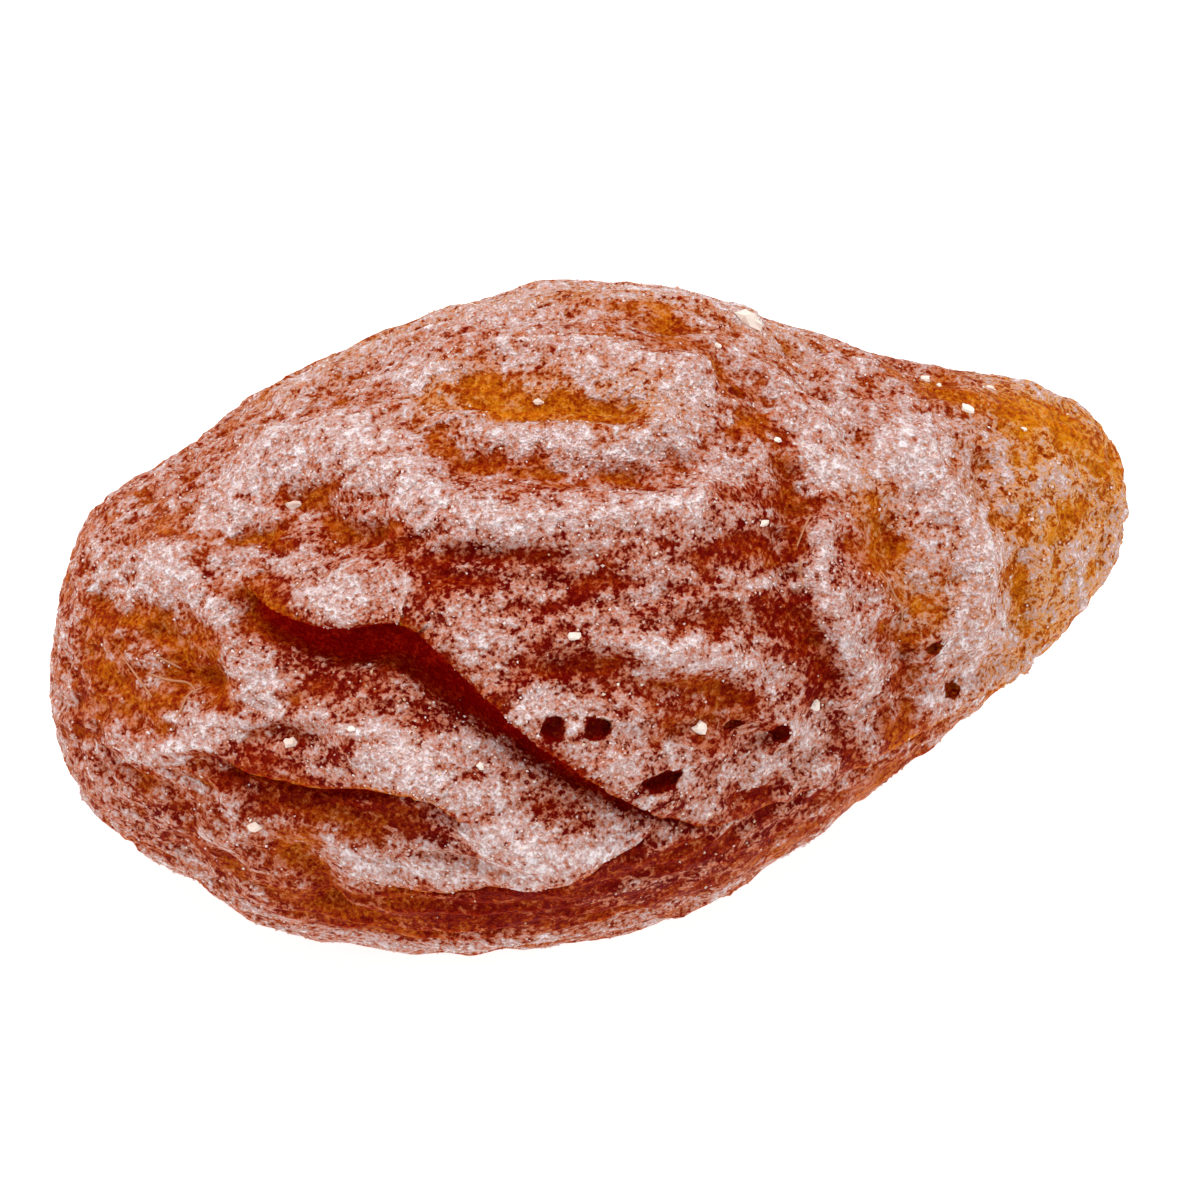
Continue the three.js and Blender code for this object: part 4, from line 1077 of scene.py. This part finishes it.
# The stage: a plain pale floor under soft light from all round, most of it from above.
FLOOR_HALF = 0.6
floor_mesh = bpy.data.meshes.new("floor")
corners = [(x * FLOOR_HALF, y * FLOOR_HALF, 0) for x, y in ((-1, -1), (1, -1), (1, 1), (-1, 1))]
floor_mesh.from_pydata(corners, [], [(0, 1, 2, 3)])
floor = bpy.data.objects.new("floor", floor_mesh)
bpy.context.scene.collection.objects.link(floor)
paper, _, _, paper_shader = new_material("white_paper")
paper_shader.inputs["Base Color"].default_value = (0.55, 0.55, 0.55, 1)
paper_shader.inputs["Roughness"].default_value = 0.9
paper_shader.inputs["Emission Color"].default_value = (1, 1, 1, 1)
paper_shader.inputs["Emission Strength"].default_value = 0.8
floor_mesh.materials.append(paper)


def soft_light(name, at, size, power):
    lamp = bpy.data.lights.new(name, "AREA")
    lamp.shape = "DISK"
    lamp.size = size
    lamp.energy = power
    light = bpy.data.objects.new(name, lamp)
    light.location = at
    light.rotation_euler = (-Vector(at)).to_track_quat("-Z", "Y").to_euler()
    bpy.context.scene.collection.objects.link(light)


soft_light("light_above", (-0.05, 0.05, 0.32), 0.22, 0.77)
soft_light("light_left", (-0.3, -0.12, 0.16), 0.2, 0.24)
soft_light("light_right", (0.3, -0.1, 0.16), 0.2, 0.3)

world = bpy.data.worlds.new("white_room")
world.use_nodes = True
world.node_tree.nodes["Background"].inputs["Color"].default_value = (1, 1, 1, 1)
world.node_tree.nodes["Background"].inputs["Strength"].default_value = 0.48
bpy.context.scene.world = world
bpy.context.scene.view_settings.view_transform = "Standard"


# The camera looks straight at the tipped face through a long lens, framed as in the photograph.
PX_PER_MM = 36
PHOTO_SIDE = 1200
FACE_ORIGIN_PX = (590, 617)  # where the middle of the face frame lies in the photograph
LENS_MM = 250
SENSOR_MM = 36
camera_data = bpy.data.cameras.new("camera")
camera_data.lens = LENS_MM
camera_data.sensor_width = SENSOR_MM
camera = bpy.data.objects.new("camera", camera_data)
bpy.context.scene.collection.objects.link(camera)
aside_mm = (PHOTO_SIDE / 2 - FACE_ORIGIN_PX[0]) / PX_PER_MM
up_mm = (FACE_ORIGIN_PX[1] - PHOTO_SIDE / 2) / PX_PER_MM
away_mm = PHOTO_SIDE / PX_PER_MM * LENS_MM / SENSOR_MM
to_row = TO_ROW.to_3x3()
aim = to_row @ Vector((aside_mm, up_mm, 0)) + Vector(shift)
camera.location = (aim + to_row @ Vector((0, 0, away_mm))) * MM + Vector(stands_at)
camera.rotation_euler = to_row.to_euler()
camera_data.clip_start = 0.001
bpy.context.scene.camera = camera
